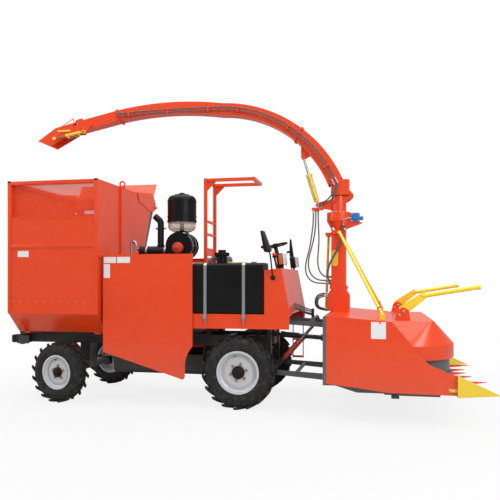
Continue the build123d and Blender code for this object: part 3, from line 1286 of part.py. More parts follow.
def flap():
    """Inverted trough that turns the stream down into the bin."""
    x, z = FLAP_PIN
    side = [(x - 15, z - 30), (-3442, 4575), (-3773, 4362), (-3540, 4256), (x - 40, 4470)]
    skin = [(x - 15, z - 30), (-3442, 4575), (-3773, 4362), (-3768, 4356), (-3440, 4567), (x - 15, z - 38)]
    cheeks = both_sides(plate_xz(side, (FLAP_HALF - 6, FLAP_HALF)))
    top = plate_xz(skin, (-FLAP_HALF, FLAP_HALF))
    tube = rod_y(x, z, (-69, 69), 20)
    bore = rod_y(x, z, (-70, 70), 12 + PIN_GAP)
    arms = [plate_xz([(x - 12, z + 12), (x - 8, z - 17), (x - 60, z - 56), (x - 150, z - 70),
                      (x - 150, z - 50), (x - 60, z - 30)],
                     (y - 8, y + 8)) for y in (-45, 45)]
    ex, ez = FLAP_EYE
    boss = rod_y(ex, ez, (FLAP_CYL_Y + LINK_W / 2 + 2, -FLAP_HALF + 2), 36)
    save("flap", join(*cheeks, top, tube, *arms, boss) - bore)


def flap_cylinder():
    base = (FLAP_BASE[0], FLAP_CYL_Y, FLAP_BASE[1])
    eye = (FLAP_EYE[0], FLAP_CYL_Y, FLAP_EYE[1])
    cylinder_pair("flap_barrel", "flap_rod", [base], [eye], 330, 28, 14, 60, (0, 1, 0), draw_in=112)


PIPE_Y = -DUCT_HALF - 38 - HOSE_R
PIPE_SHARES = (0.40, 0.64)
PIPE_CLIPS = (0.12, 0.5, 0.88)


def pipe_arcs(share):
    """The two arcs that one pipe follows along the near side of the duct."""
    points = []
    for x, z, way, depth in BOOM_STATIONS:
        down_x = -math.sin(math.radians(way))
        down_z = math.cos(math.radians(way))
        points.append((x + share * depth * down_x, PIPE_Y, z + share * depth * down_z))
    first = ThreePointArc(*points[0:3])
    return [first, TangentArc(first @ 1, points[4], tangent=first % 1)]


def boom_pipes():
    """Two hydraulic pipes along the near side of the duct."""
    pipes = []
    for share in PIPE_SHARES:
        arcs = pipe_arcs(share)
        path = Wire([*arcs[0].edges(), *arcs[1].edges()])
        pipes.append(sweep(Plane(origin=path @ 0, z_dir=path % 0) * Circle(HOSE_R), path=path))
    save("boom_pipes", *pipes)


def pipe_clips():
    """Blocks on the duct that hold both pipes, each bored for its pipe."""
    clips = []
    for upper, lower in zip(pipe_arcs(PIPE_SHARES[0]), pipe_arcs(PIPE_SHARES[1])):
        for where in PIPE_CLIPS:
            for arc in (upper, lower):
                point = arc @ where
                place = Plane(origin=point, x_dir=(0, 1, 0), z_dir=arc % where)
                reach = -DUCT_HALF + 2 - (PIPE_Y - 18)
                body = place * Pos(reach / 2 - 18, 0, 0) * Box(reach, 40, 30)
                clips.append(body - place * Cylinder(HOSE_R + 0.2, 60))
    return clips


# Limp hoses that hang in a loop from the spout head to the mast
HOSE_TOP_Z = 3040
HOSE_END_X = MAST_X - MAST_W / 2 - 22
# route columns: name, y, points in X and Z from the spout head to the mast
HOSES = (
    ("hose_a", -70, ((1035, HOSE_TOP_Z), (1035, 2850), (1008, 2650), (975, 2440), (925, 2260), (902, 2110),
                     (938, 1975),
                     (1040, 1893), (1170, 1880), (1299.5, 1880))),
    ("hose_b", -34, ((1070, HOSE_TOP_Z), (1070, 2850), (1050, 2650), (1003, 2450), (955, 2290),
                     (948, 2140), (995, 2010),
                     (1090, 1940), (1195, 1925), (1299.5, 1925))),
    ("hose_c", 4, ((1105, HOSE_TOP_Z), (1105, 2850), (1118, 2650), (1112, 2450), (1098, 2300),
                   (1098, 2180), (1124, 2075),
                   (1180, 2005), (1240, 1985), (1299.5, 1985))),
)


def hose(y, route):
    """Tube along straight runs joined by tangent arcs; returns the tube, its length and its least radius."""
    points = [Vector(x, y, z) for x, z in route]
    radii = []
    for before, here, after in zip(points, points[1:], points[2:]):
        back = here - before
        ahead = after - here
        half_turn = math.radians(back.get_angle(ahead)) / 2
        radii.append(0.45 * min(back.length, ahead.length) / math.tan(half_turn))
    path = FilletPolyline(*points, radius=radii)
    tube = sweep(Plane(origin=path @ 0, z_dir=path % 0) * Circle(HOSE_R), path=path)
    return tube, path.length, min(radii)


def hoses():
    for name, y, route in HOSES:
        tube, length, least = hose(y, route)
        share = tube.volume / (math.pi * HOSE_R**2 * length)
        print(f"{name}: radius {HOSE_R} mm, length {length:.0f} mm")
        print(f"{name}: least bend {least:.0f} mm, volume share {share:.3f}")
        save(name, tube)


def hose_ports():
    """Fittings on the back of the mast, one for each hose."""
    back = MAST_X - MAST_W / 2
    return [rod((HOSE_END_X, y, route[-1][1]), (back + 4, y, route[-1][1]), HOSE_R + 6) for _, y,
            route in HOSES]


def hose_manifold():
    """Valve block under the rear lugs of the spout head, with a spigot over each hose."""
    x = [route[0][0] for _, _, route in HOSES]
    body = block((min(x) - 24, max(x) + 85), (-95, 30), (HOSE_TOP_Z + 14, HOSE_TOP_Z + 50))
    spigots = [rod_z(route[0][0], y, (HOSE_TOP_Z, HOSE_TOP_Z + 30), HOSE_R + 5) for _, y, route in HOSES]
    return [body, *spigots]


if __name__ == "__main__":
    os.makedirs("parts", exist_ok=True)
    wheels()
    front_axle()
    rear_axle()
    knuckles()
    tie_rod()
    chassis_frame()
    belly_tray()
    engine_block()
    engine_panels()
    air_cleaner()
    precleaner_bowl()
    exhaust()
    operator_platform()
    seat()
    fuel_tank()
    tank_straps()
    front_cowl()
    steering_column()
    canopy_frame()
    mirrors_and_lamps()
    bin_shell()
    bin_screen()
    bin_gate()
    tip_cylinder()
    lower_links()
    upper_links()
    lift_cylinders()
    drive_shaft()
    header_shell()
    header_frame()
    drum_cover()
    dividers()
    crop_points()
    push_bars()
    drums()
    mast()
    swing_motor()
    mast_stays()
    spout_head()
    boom()
    boom_cylinder()
    flap()
    flap_cylinder()
    boom_pipes()
    hoses()
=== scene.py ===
import math

import bmesh
import bpy
from mathutils import Matrix, Vector


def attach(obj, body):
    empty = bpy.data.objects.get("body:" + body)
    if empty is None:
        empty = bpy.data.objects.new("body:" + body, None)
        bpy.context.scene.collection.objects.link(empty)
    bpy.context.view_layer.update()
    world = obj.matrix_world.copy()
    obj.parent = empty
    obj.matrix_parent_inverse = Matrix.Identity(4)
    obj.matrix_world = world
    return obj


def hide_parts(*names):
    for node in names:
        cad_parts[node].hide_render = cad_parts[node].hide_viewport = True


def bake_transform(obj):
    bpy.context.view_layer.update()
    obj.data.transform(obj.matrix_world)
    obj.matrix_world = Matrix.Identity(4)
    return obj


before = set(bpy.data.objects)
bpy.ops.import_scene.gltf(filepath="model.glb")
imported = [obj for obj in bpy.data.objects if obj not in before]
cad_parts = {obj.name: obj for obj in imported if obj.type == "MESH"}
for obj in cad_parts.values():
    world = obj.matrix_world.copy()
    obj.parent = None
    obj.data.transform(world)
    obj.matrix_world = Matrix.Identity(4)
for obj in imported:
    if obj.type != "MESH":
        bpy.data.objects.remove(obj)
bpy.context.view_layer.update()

bl_info = {
    "name": "Corn forage harvester",
    "version": (1, 0, 0),
    "blender": (4, 5, 0),
    "location": "View3D > Sidebar > Harvester",
    "description": "Paint, fittings and hoses of a self-propelled corn forage harvester",
    "category": "Object",
}

# The solids' frame is under the middle of the machine, and places below are measured from the front axle.
AXLE_X = 0.1125
FORE, AFT, LEFT, RIGHT, UP, DOWN = (1, 0, 0), (-1, 0, 0), (0, 1, 0), (0, -1, 0), (0, 0, 1), (0, 0, -1)
HANDS = (-1, 1)  # right side, left side


def linear(code):
    """Linear colour with alpha from an sRGB hex code."""
    channels = [int(code[i:i + 2], 16) / 255 for i in (0, 2, 4)]
    return [c / 12.92 if c <= 0.04045 else ((c + 0.055) / 1.055) ** 2.4 for c in channels] + [1.0]


def place(x, y, z):
    """Point in metres from millimetres measured from the ground under the front axle."""
    return Vector((x / 1000 + AXLE_X, y / 1000, z / 1000))


def colour(name, description, code):
    return bpy.props.FloatVectorProperty(name=name, description=description, subtype="COLOR", size=4,
                                         min=0, max=1, default=linear(code))


def length(name, description, default):
    return bpy.props.FloatProperty(name=name, description=description, subtype="DISTANCE", unit="LENGTH",
                                   default=default, min=0.0001)


class HarvesterPaint(bpy.types.PropertyGroup):
    """Colours of the machine"""
    red: colour("Red enamel", "Sheet metal of bin, cowl, header and spout", "EA4410")
    grey: colour("Grey enamel", "Frame, axles, gate and drums", "55595F")
    yellow: colour("Yellow enamel", "Stays, push bars, dividers and cylinders", "F3D02A")
    black: colour("Black polyethylene", "Fuel tank, air cleaner and mirror housings", "0F0E0F")
    frame_black: colour("Black chassis paint", "Ladder frame and linkage", "28292D")
    rim: colour("Rim paint", "Silver-white wheel paint", "CDCFD3")
    rubber: colour("Tyre rubber", "Tyres", "201F20")
    blue: colour("Blue enamel", "Swing motor", "2C74BD")
    zinc: colour("Yellow zinc", "Wheel nuts and pins", "C49A45")
    steel: colour("Zinc-plated steel", "Straps, bolts and pipe fittings", "B9BBBE")
    exhaust: colour("Heat-stained steel", "Exhaust", "37353A")
    dust: colour("Field dust", "Settled dust low on the machine", "8D8274")
    plate: colour("Blank plate", "Bare white data plates", "E9E9EA")
    amber: colour("Amber lens", "Turn signals", "F0701E")


class HarvesterSizes(bpy.types.PropertyGroup):
    """Sizes of the small fittings"""
    hose: length("Hose diameter", "Hydraulic hose", 0.022)
    bolt: length("Bolt radius", "Hexagon head of the bolts on the drum cover", 0.011)
    screen_pitch: length("Screen pitch", "Distance between the holes of the bin's screen", 0.042)
    screen_bar: length("Screen bar", "Width of the metal between the holes of the bin's screen", 0.015)
    plate_thickness: length("Plate thickness", "Data plates", 0.002)
    swell: length("Seat swell", "Furthest that the seat's foam swells", 0.024)


def paint():
    return bpy.context.scene.harvester_paint


def sizes():
    return bpy.context.scene.harvester_sizes


# Materials
EDGE_SOFTNESS = 0.002


def add(tree, kind, inputs=None, **settings):
    """Adds a node with its settings, its values and its links."""
    node = tree.nodes.new("ShaderNode" + kind)
    for key, value in settings.items():
        setattr(node, key, value)
    for socket, value in (inputs or {}).items():
        if isinstance(value, bpy.types.NodeSocket):
            tree.links.new(value, node.inputs[socket])
        else:
            node.inputs[socket].default_value = value
    return node


def shade(code, factor):
    return [min(1, c * factor) for c in code[:3]] + [1.0]


def blank_material(name):
    """Material of that name, with its tree only if it is new."""
    material = bpy.data.materials.get(name)
    if material:
        return material, None
    material = bpy.data.materials.new(name)
    material.use_nodes = True
    material.node_tree.nodes.clear()
    return material, material.node_tree


def finish_surface(tree, base, rough, height, distance, **values):
    """Principled surface: colour, roughness and bump from sockets, softened edges, and plain values."""
    soft = add(tree, "Bevel", {"Radius": EDGE_SOFTNESS}, samples=4)
    bump = add(tree, "Bump", {"Height": height, "Distance": distance, "Strength": 1.0,
                              "Normal": soft.outputs["Normal"]})
    inputs = {"Base Color": base, "Roughness": rough, "Normal": bump.outputs["Normal"]}
    inputs.update({key.replace("_", " "): value for key, value in values.items()})
    surface = add(tree, "BsdfPrincipled", inputs)
    add(tree, "OutputMaterial", {"Surface": surface.outputs["BSDF"]})


def enamel(name, tint, rough=0.3, dusty=0.5, wave=0.0006):
    """Sprayed enamel on sheet steel: even colour with soft blotches, faint sheet waves in its gloss, and dust
    low down."""
    material, tree = blank_material(name)
    if tree is None:
        return material
    here = add(tree, "TexCoord").outputs["Object"]
    # blotches about 400 mm wide, sheet waves about 250 mm, grit about 12 mm, drawn coarse enough to show
    blotch = add(tree, "TexNoise", {"Vector": here, "Scale": 1 / 0.4, "Detail": 3.0, "Roughness": 0.6})
    wavy = add(tree, "TexNoise", {"Vector": here, "Scale": 1 / 0.25, "Detail": 1.0})
    grit = add(tree, "TexNoise", {"Vector": here, "Scale": 1 / 0.012, "Detail": 4.0, "Roughness": 0.7})
    height_z = add(tree, "SeparateXYZ", {"Vector": here}).outputs["Z"]
    # dust lies below 1.1 m and is thickest below 0.2 m
    low = add(tree, "MapRange", {"Value": height_z, "From Min": 1.1, "From Max": 0.2, "To Min": 0.0,
                                 "To Max": 1.0})
    speck = add(tree, "MapRange", {"Value": grit.outputs["Fac"], "From Min": 0.42, "From Max": 0.7})
    soil = add(tree, "Math", {0: low.outputs["Result"], 1: speck.outputs["Result"]}, operation="MULTIPLY")
    soil = add(tree, "Math", {0: soil.outputs[0], 1: dusty}, operation="MULTIPLY", use_clamp=True)
    tone = add(tree, "Mix", {"Factor": blotch.outputs["Fac"], "A": shade(tint, 0.94), "B": shade(tint, 1.04)},
               data_type="RGBA")
    base = add(tree, "Mix", {"Factor": soil.outputs[0], "A": tone.outputs["Result"], "B": list(paint().dust)},
               data_type="RGBA")
    gloss = add(tree, "MapRange", {"Value": blotch.outputs["Fac"], "From Min": 0.3, "From Max": 0.7,
                                   "To Min": rough - 0.05, "To Max": rough + 0.07})
    matt = add(tree, "Math", {0: gloss.outputs["Result"], 1: soil.outputs[0]}, operation="ADD",
               use_clamp=True)
    finish_surface(tree, base.outputs["Result"], matt.outputs[0], wavy.outputs["Fac"], wave, IOR=1.5,
                   Coat_Weight=0.2, Coat_Roughness=0.08)
    return material


def clouded(name, tones, slow, fine, depth, rough, span=(0.0, 1.0), **values):
    """Surface with a slow noise between two tones and two roughnesses, and a fine noise as its bump; each
    noise is a width in metres and a detail."""
    material, tree = blank_material(name)
    if tree is None:
        return material
    here = add(tree, "TexCoord").outputs["Object"]
    cloud, grain = (add(tree, "TexNoise", {"Vector": here, "Scale": 1 / width, "Detail": detail})
                    for width, detail in (slow, fine))
    base = add(tree, "Mix", {"Factor": cloud.outputs["Fac"], "A": tones[0], "B": tones[1]}, data_type="RGBA")
    gloss = add(tree, "MapRange", {"Value": cloud.outputs["Fac"], "From Min": span[0], "From Max": span[1],
                                   "To Min": rough[0], "To Max": rough[1]})
    finish_surface(tree, base.outputs["Result"], gloss.outputs["Result"], grain.outputs["Fac"], depth, **values)
    return material


def moulded(name, tint, rough, grain=0.003, depth=0.0002, shine=0.3):
    """Moulded or cast surface: a fine grain, drawn at 3 mm or more so that it shows, and slowly changing
    gloss."""
    return clouded(name, (shade(tint, 0.8), shade(tint, 1.25)), (0.18, 3.0), (grain, 2.0), depth,
                   (rough - 0.08, rough + 0.1), (0.3, 0.7), IOR=1.49, Specular_IOR_Level=shine)


def bare_metal(name, tint, rough, stain=0.5):
    """Plated or bare steel: bright with cloudy stains about 50 mm wide and fine drawing lines."""
    return clouded(name, (shade(tint, 1 - stain / 2), shade(tint, 1.1)), (0.05, 4.0), (0.002, 1.0), 0.00005,
                   (rough + 0.12, rough - 0.05), Metallic=1.0)


def clear_plastic(name, tint, rough, through):
    """Clear moulded polycarbonate or lens: tinted, glossy and seen through, with a faint haze."""
    return clouded(name, (shade(tint, 0.9), shade(tint, 1.05)), (0.06, 3.0), (0.06, 3.0), 0.0003,
                   (rough, rough + 0.15), IOR=1.58, Transmission_Weight=through)


def tyre_rubber():
    """Vulcanised rubber: matte near-black, greyed by dust on the tread and in streaks on the wall."""
    material, tree = blank_material("vulcanised_rubber")
    if tree is None:
        return material
    here = add(tree, "TexCoord").outputs["Object"]
    dirt = add(tree, "TexNoise", {"Vector": here, "Scale": 1 / 0.07, "Detail": 5.0, "Roughness": 0.65})
    pore = add(tree, "TexNoise", {"Vector": here, "Scale": 1 / 0.006, "Detail": 2.0})
    soil = add(tree, "MapRange", {"Value": dirt.outputs["Fac"], "From Min": 0.48, "From Max": 0.78,
                                  "To Max": 0.4})
    base = add(tree, "Mix", {"Factor": soil.outputs["Result"], "A": list(paint().rubber),
                             "B": shade(paint().dust, 0.55)}, data_type="RGBA")
    rough = add(tree, "MapRange", {"Value": dirt.outputs["Fac"], "To Min": 0.6, "To Max": 0.9})
    finish_surface(tree, base.outputs["Result"], rough.outputs["Result"], pore.outputs["Fac"], 0.0006,
                   IOR=1.52, Specular_IOR_Level=0.3)
    return material


def finishes():
    """The machine's materials by the name of the finish."""
    p = paint()
    return {
        "red": enamel("red_enamel", p.red, 0.28, 0.4, 0.00012),
        "grey": enamel("grey_enamel", p.grey, 0.42),
        "yellow": enamel("yellow_enamel", p.yellow, 0.3, 0.35),
        "frame": enamel("black_chassis_paint", p.frame_black, 0.5, 0.55),
        "rim": enamel("silver_rim_paint", p.rim, 0.36, 0.18, 0.0003),
        "blue": enamel("blue_enamel", p.blue, 0.3, 0.2),
        "plate": enamel("blank_aluminium_plate", p.plate, 0.4, 0.1, 0.0001),
        "black": moulded("black_polyethylene", p.black, 0.38, shine=0.2),
        "trim": moulded("black_abs", shade(p.black, 0.9), 0.42, 0.004),
        "vinyl": moulded("black_vinyl", shade(p.black, 1.2), 0.55, 0.006, 0.0006),
        "hose": moulded("hose_rubber", shade(p.rubber, 0.5), 0.6, 0.004, 0.0003, 0.12),
        "tyre": tyre_rubber(),
        "zinc": bare_metal("yellow_zinc", p.zinc, 0.35),
        "steel": bare_metal("zinc_plated_steel", p.steel, 0.3),
        "chrome": bare_metal("hard_chrome", linear("A4A8AE"), 0.16, 0.2),
        "exhaust": bare_metal("heat_stained_steel", p.exhaust, 0.5, 0.7),
        "bowl": clear_plastic("clear_polycarbonate", linear("F3E9E2"), 0.06, 0.85),
        "lens": clear_plastic("clear_lens", linear("F4F4F2"), 0.1, 0.45),
        "amber": clear_plastic("amber_lens", p.amber, 0.15, 0.3),
        "tail": clear_plastic("red_lens", linear("B3160E"), 0.15, 0.3),
        "mirror": bare_metal("mirror_glass", linear("E6E8EA"), 0.06, 0.05),
        "cap_rubber": moulded("red_rubber", linear("C8452F"), 0.5, 0.004, 0.0003),
    }


# Each finish with the solids that carry it
NODE_FINISH = {
    "red": ("engine_panels", "operator_platform", "front_cowl", "bin_shell", "bin_screen", "header_shell",
            "drum_cover", "crop_points", "spout_head", "boom", "flap", "mast", "canopy_frame", "lift_barrels",
            "tip_barrel"),
    "grey": ("bin_gate", "header_frame", "drum_right", "drum_left", "rear_axle", "front_axle", "engine_block",
             "lower_links", "upper_links"),
    "yellow": ("dividers", "push_bars", "mast_stays", "boom_barrel", "flap_barrel"),
    "frame": ("chassis_frame", "belly_tray", "knuckle_right", "knuckle_left", "tie_rod", "drive_shaft"),
    "black": ("fuel_tank", "air_cleaner"),
    "trim": ("steering_column", "mirrors_and_lamps"),
    "vinyl": ("seat",),
    "exhaust": ("exhaust",),
    "steel": ("tank_straps",),
    "chrome": ("tip_rod", "lift_rods", "boom_rod", "flap_rod"),
    "blue": ("swing_motor",),
    "hose": ("hose_a", "hose_b", "hose_c", "boom_pipes"),
    "bowl": ("precleaner_bowl",),
    "rim": ("rim_front_right", "rim_front_left", "rim_rear_right", "rim_rear_left"),
    "tyre": ("tyre_front_right", "tyre_front_left", "tyre_rear_right", "tyre_rear_left"),
}


# Modelling helpers
def only(*pieces):
    """Selects the pieces alone, with the first one active."""
    bpy.ops.object.select_all(action="DESELECT")
    for piece in pieces:
        piece.select_set(True)
    bpy.context.view_layer.objects.active = pieces[0]


def fresh(primitive, **measures):
    """Adds one primitive with nothing else selected, and returns it."""
    bpy.ops.object.select_all(action="DESELECT")
    primitive(**measures)
    return bpy.context.object


def select_whole():
    bpy.ops.mesh.select_all(action="SELECT")


def edit(piece):
    """Opens a piece in edit mode with its whole mesh selected."""
    only(piece)
    bpy.ops.object.mode_set(mode="EDIT")
    select_whole()


def pick(piece, wanted, kind="faces"):
    """In edit mode, selects the faces or vertices that pass a test."""
    bpy.ops.mesh.select_mode(type={"faces": "FACE", "verts": "VERT"}[kind])
    bpy.ops.mesh.select_all(action="DESELECT")
    mesh = bmesh.from_edit_mesh(piece.data)
    for element in getattr(mesh, kind):
        if wanted(element):
            element.select_set(True)
    mesh.select_flush_mode()
    bmesh.update_edit_mesh(piece.data)


def leave():
    bpy.ops.object.mode_set(mode="OBJECT")


def settle(piece, matrix=None):
    """Puts the piece's place into its mesh, with its object at the origin."""
    if matrix is not None:
        piece.matrix_world = matrix @ piece.matrix_world
    only(piece)
    bpy.ops.object.transform_apply(location=True, rotation=True, scale=True)
    return piece


def smooth(piece, degrees=35):
    only(piece)
    bpy.ops.object.shade_smooth_by_angle(angle=math.radians(degrees))


def modified(piece, kind, **settings):
    """Adds a modifier with its settings and applies it."""
    modifier = piece.modifiers.new(kind.lower(), kind)
    for key, value in settings.items():
        setattr(modifier, key, value)
    only(piece)
    bpy.ops.object.modifier_apply(modifier=modifier.name)


def round_edges(piece, width, segments):
    modified(piece, "BEVEL", width=width, segments=segments, limit_method="ANGLE")


def joined(*parts):
    only(*parts)
    bpy.ops.object.join()
    return parts[0]


def copies(master, matrices):
    """One piece from copies of a master, each turned and moved by its matrix; the master goes."""
    made = []
    for matrix in matrices:
        one = master.copy()
        one.data = master.data.copy()
        bpy.context.collection.objects.link(one)
        one.data.transform(matrix)
        made.append(one)
    bpy.data.objects.remove(master)
    return joined(*made)


def dress(name, finish, body, *parts, slot=None):
    """Joins the parts to one piece, names it, gives it its finish, and lets it ride on its body."""
    piece = joined(*parts)
    piece.name = name
    piece.data.name = name
    piece.data.materials.clear()
    piece.data.materials.append(finishes()[finish])
    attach(piece, body)
    return piece


def facing(point, direction):
    """Matrix that puts a piece built along +Z at a point, along a direction."""
    return Matrix.Translation(point) @ Vector(direction).to_track_quat("Z", "Y").to_matrix().to_4x4()


def at(x, y, z, way):
    """Matrix that puts a piece built along +Z at a place, along a way."""
    return facing(place(x, y, z), way)


def shift(x, y, z):
    """Matrix that moves a piece from the origin to a place."""
    return Matrix.Translation(place(x, y, z))


def turn_about(pivot, degrees, axis):
    """Matrix that turns a piece about a line through a point."""
    turn = Matrix.Rotation(math.radians(degrees), 4, axis)
    return Matrix.Translation(pivot) @ turn @ Matrix.Translation(-pivot)


def upright(point, way):
    """Matrix that puts a flat piece, built facing +Z with +Y up, at a point and facing a level way."""
    front = Vector(way).normalized()
    right = Vector(UP).cross(front).normalized()
    turn = Matrix((right, front.cross(right), front)).transposed().to_4x4()
    return Matrix.Translation(point) @ turn


def turned(profile, sides=32, there=None):
    """Round form about +Z, drawn up ring by ring from a disc; the profile's rows are radius and height."""
    radius, height = profile[0]
    piece = fresh(bpy.ops.mesh.primitive_circle_add, vertices=sides, radius=radius, fill_type="NGON",
                  location=(0, 0, height))
    settle(piece)
    edit(piece)
    for wide, high in profile[1:]:
        bpy.ops.mesh.extrude_region_move(TRANSFORM_OT_translate={"value": (0, 0, high - height)})
        bpy.ops.transform.resize(value=(wide / radius, wide / radius, 1), center_override=(0, 0, high))
        radius, height = wide, high
    select_whole()
    bpy.ops.mesh.normals_make_consistent(inside=False)
    leave()
    smooth(piece)
    return settle(piece, there)


def bolt_head(radius):
    """Hexagon bolt on a washer, built up along +Z from the origin."""
    washer = turned([(1.5 * radius, 0), (1.5 * radius, 0.2 * radius), (1.35 * radius, 0.3 * radius)], 16)
    head = fresh(bpy.ops.mesh.primitive_cylinder_add, vertices=6, radius=radius, depth=0.9 * radius,
                 location=(0, 0, 0.75 * radius))
    settle(head)
    edit(head)
    pick(head, lambda face: face.normal.z > 0.9)
    bpy.ops.mesh.inset(thickness=0.14 * radius, depth=0.1 * radius)
    leave()
    return joined(head, washer)


def bolts(name, finish, body, radius, spots):
    """Bolts at spots, each a matrix along the way the bolt's head faces."""
    return dress(name, finish, body, copies(bolt_head(radius), spots))


def sheet(width, height, thickness, there, corner=0.006, edge=0.0005):
    """Flat plate with rounded corners, drawn out of a plane that faces +Z and then put in its place."""
    piece = fresh(bpy.ops.mesh.primitive_plane_add, size=1)
    piece.scale = (width, height, 1)
    settle(piece)
    edit(piece)
    bpy.ops.mesh.bevel(offset=corner, segments=4, affect="VERTICES")
    select_whole()
    bpy.ops.mesh.extrude_region_move(TRANSFORM_OT_translate={"value": (0, 0, thickness)})
    select_whole()
    bpy.ops.mesh.normals_make_consistent(inside=False)
    leave()
    round_edges(piece, edge, 1)
    smooth(piece)
    return settle(piece, there)


def plates(name, body, rows):
    """Blank plates on the near side; each row is the middle, the width and the height in millimetres."""
    made = [sheet(wide / 1000, high / 1000, sizes().plate_thickness, upright(place(*middle), RIGHT))
            for middle, wide, high in rows]
    return dress(name, "plate", body, *made)


def block(low, high, edge):
    """Block between two corners, in millimetres from the front axle, with rounded edges."""
    near, far = (place(*map(choose, low, high)) for choose in (min, max))
    piece = fresh(bpy.ops.mesh.primitive_cube_add, size=1, location=(near + far) / 2)
    piece.scale = far - near
    settle(piece)
    edit(piece)
    bpy.ops.mesh.bevel(offset=edge, segments=3, affect="EDGES")
    leave()
    smooth(piece)
    return piece


def bar(start, end, radius, sides=20):
    """Round bar between two points with chamfered ends."""
    line = Vector(end) - Vector(start)
    soft = 0.18 * radius
    return turned([(radius - soft, 0), (radius, soft), (radius, line.length - soft),
                   (radius - soft, line.length)], sides, facing(Vector(start), line))


def band(radius, width, thickness, there, sides=48):
    """Hoop about +Z, put in its place: an open cylinder given its thickness and soft edges."""
    piece = fresh(bpy.ops.mesh.primitive_cylinder_add, vertices=sides, radius=radius + thickness, depth=width,
                  end_fill_type="NOTHING")
    modified(piece, "SOLIDIFY", thickness=thickness + 0.002, offset=-1)
    round_edges(piece, 0.25 * thickness, 2)
    smooth(piece)
    return settle(piece, there)


def rib(radius, size, there):
    """Rubber rib about +Z, put in its place: a ring pressed flatter than round."""
    piece = fresh(bpy.ops.mesh.primitive_torus_add, major_radius=radius, minor_radius=size, major_segments=64,
                  minor_segments=8)
    edit(piece)
    bpy.ops.transform.resize(value=(1, 1, 0.6), center_override=(0, 0, 0))
    leave()
    smooth(piece)
    return settle(piece, there)


def centre_line(points):
    """NURBS spline with the points as its control points, as a curve object."""
    curve = bpy.data.curves.new("line", "CURVE")
    curve.dimensions = "3D"
    curve.resolution_u = 12
    spline = curve.splines.new("NURBS")
    spline.points.add(len(points) - 1)
    for slot_point, point in zip(spline.points, points):
        slot_point.co = (*point, 1)
    spline.order_u = 3
    spline.use_endpoint_u = True
    line = bpy.data.objects.new("line", curve)
    bpy.context.collection.objects.link(line)
    return line


def tube(points, radius):
    """Round tube as a mesh along a smooth line, and the points that it follows."""
    line = centre_line(points)
    bpy.context.view_layer.update()
    thread = bpy.data.meshes.new_from_object(line)
    path = [tuple(vertex.co) for vertex in thread.vertices]
    bpy.data.meshes.remove(thread)
    line.data.bevel_depth = radius
    line.data.bevel_resolution = 4
    line.data.use_fill_caps = True
    only(line)
    bpy.ops.object.convert(target="MESH")
    smooth(bpy.context.object, 50)
    return bpy.context.object, path


def pipe_run(rows, radius):
    """Round pipe through places given in millimetres."""
    return tube([place(*row) for row in rows], radius)[0]


def hang_hose(name, points, bodies, free=None, thick=None):
    """Hose along a smooth line from one fitting to another, riding on the first of its bodies. A hose given
    free points rides on no body and keeps its place baked into its mesh; the free points and a second body are
    not used otherwise."""
    diameter = thick or sizes().hose
    hose, path = tube(points, diameter / 2)
    hose.name = name
    hose.data.materials.append(finishes()["hose"])
    if free:
        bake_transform(hose)
    else:
        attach(hose, bodies[0])
    return hose


def ferrules(name, body, ends):
    """Crimped steel sleeves with a nut, each at a hose's end and along the way the hose leaves it."""
    r = sizes().hose / 2
    sleeve = turned([(1.5 * r, 0), (1.6 * r, 0.002), (1.6 * r, 0.016), (1.25 * r, 0.018), (1.25 * r, 0.022),
                     (1.35 * r, 0.024), (1.35 * r, 0.05), (1.1 * r, 0.056)], 12)
    return dress(name, "steel", body, copies(sleeve, ends))


class HARVESTER_OT_paint(bpy.types.Operator):
    """Give every solid of the machine its finish"""
    bl_idname = "harvester.paint"
    bl_label = "Paint"

    def execute(self, context):
        made = finishes()
        for finish, nodes in NODE_FINISH.items():
            for node in nodes:
                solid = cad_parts[node]
                solid.data.materials.clear()
                solid.data.materials.append(made[finish])
        return {"FINISHED"}


# Hanging hoses: name, Y, length, route in X and Z from the spout head to the mast
HOSE_ROUTES = (
    ("hose_a", -70, 1.464, ((1035, 3040), (1035, 2850), (1008, 2650), (975, 2440), (925, 2260), (902, 2110),
                            (938, 1975), (1040, 1893), (1170, 1880), (1299.5, 1880))),
    ("hose_b", -34, 1.373, ((1070, 3040), (1070, 2850), (1050, 2650), (1003, 2450), (955, 2290), (948, 2140),
                            (995, 2010), (1090, 1940), (1195, 1925), (1299.5, 1925))),
    ("hose_c", 4, 1.178, ((1105, 3040), (1105, 2850), (1118, 2650), (1112, 2450), (1098, 2300), (1098, 2180),
                          (1124, 2075), (1180, 2005), (1240, 1985), (1299.5, 1985))),
)
# Feed hoses from the cowl to the clip on the upper links: Y and rise of each in the bundle, route in X and Z
FEED_ROWS = ((-345, 0), (-315, 27), (-285, -25), (-255, 50))
FEED_ROUTE = ((752, 1512), (820, 1500), (890, 1462), (960, 1432), (1010, 1420), (1050, 1416))
# Loops on the back of the mast's foot: Y of each, route in X and Z, and how far each further loop bulges out
LOOP_Y = (-140, -105, -70)
LOOP_ROUTE = ((1265, 1675), (1200, 1678), (1125, 1650), (1105, 1578), (1125, 1508), (1200, 1484),
              (1265, 1486))
LOOP_STEP = ((0, 24), (-6, 24), (-20, 18), (-24, 0), (-20, -8), (-6, -14), (0, -14))
# Hose of the swing motor down the near side of the mast, and its diameter
MOTOR_ROUTE = ((1515, -165, 2815), (1514, -165, 2703), (1485, -158, 2514), (1383, -152, 2349),
               (1302, -148, 2200), (1262, -135, 2060), (1275, -105, 1930), (1322, -85, 1850))
MOTOR_HOSE = 0.032
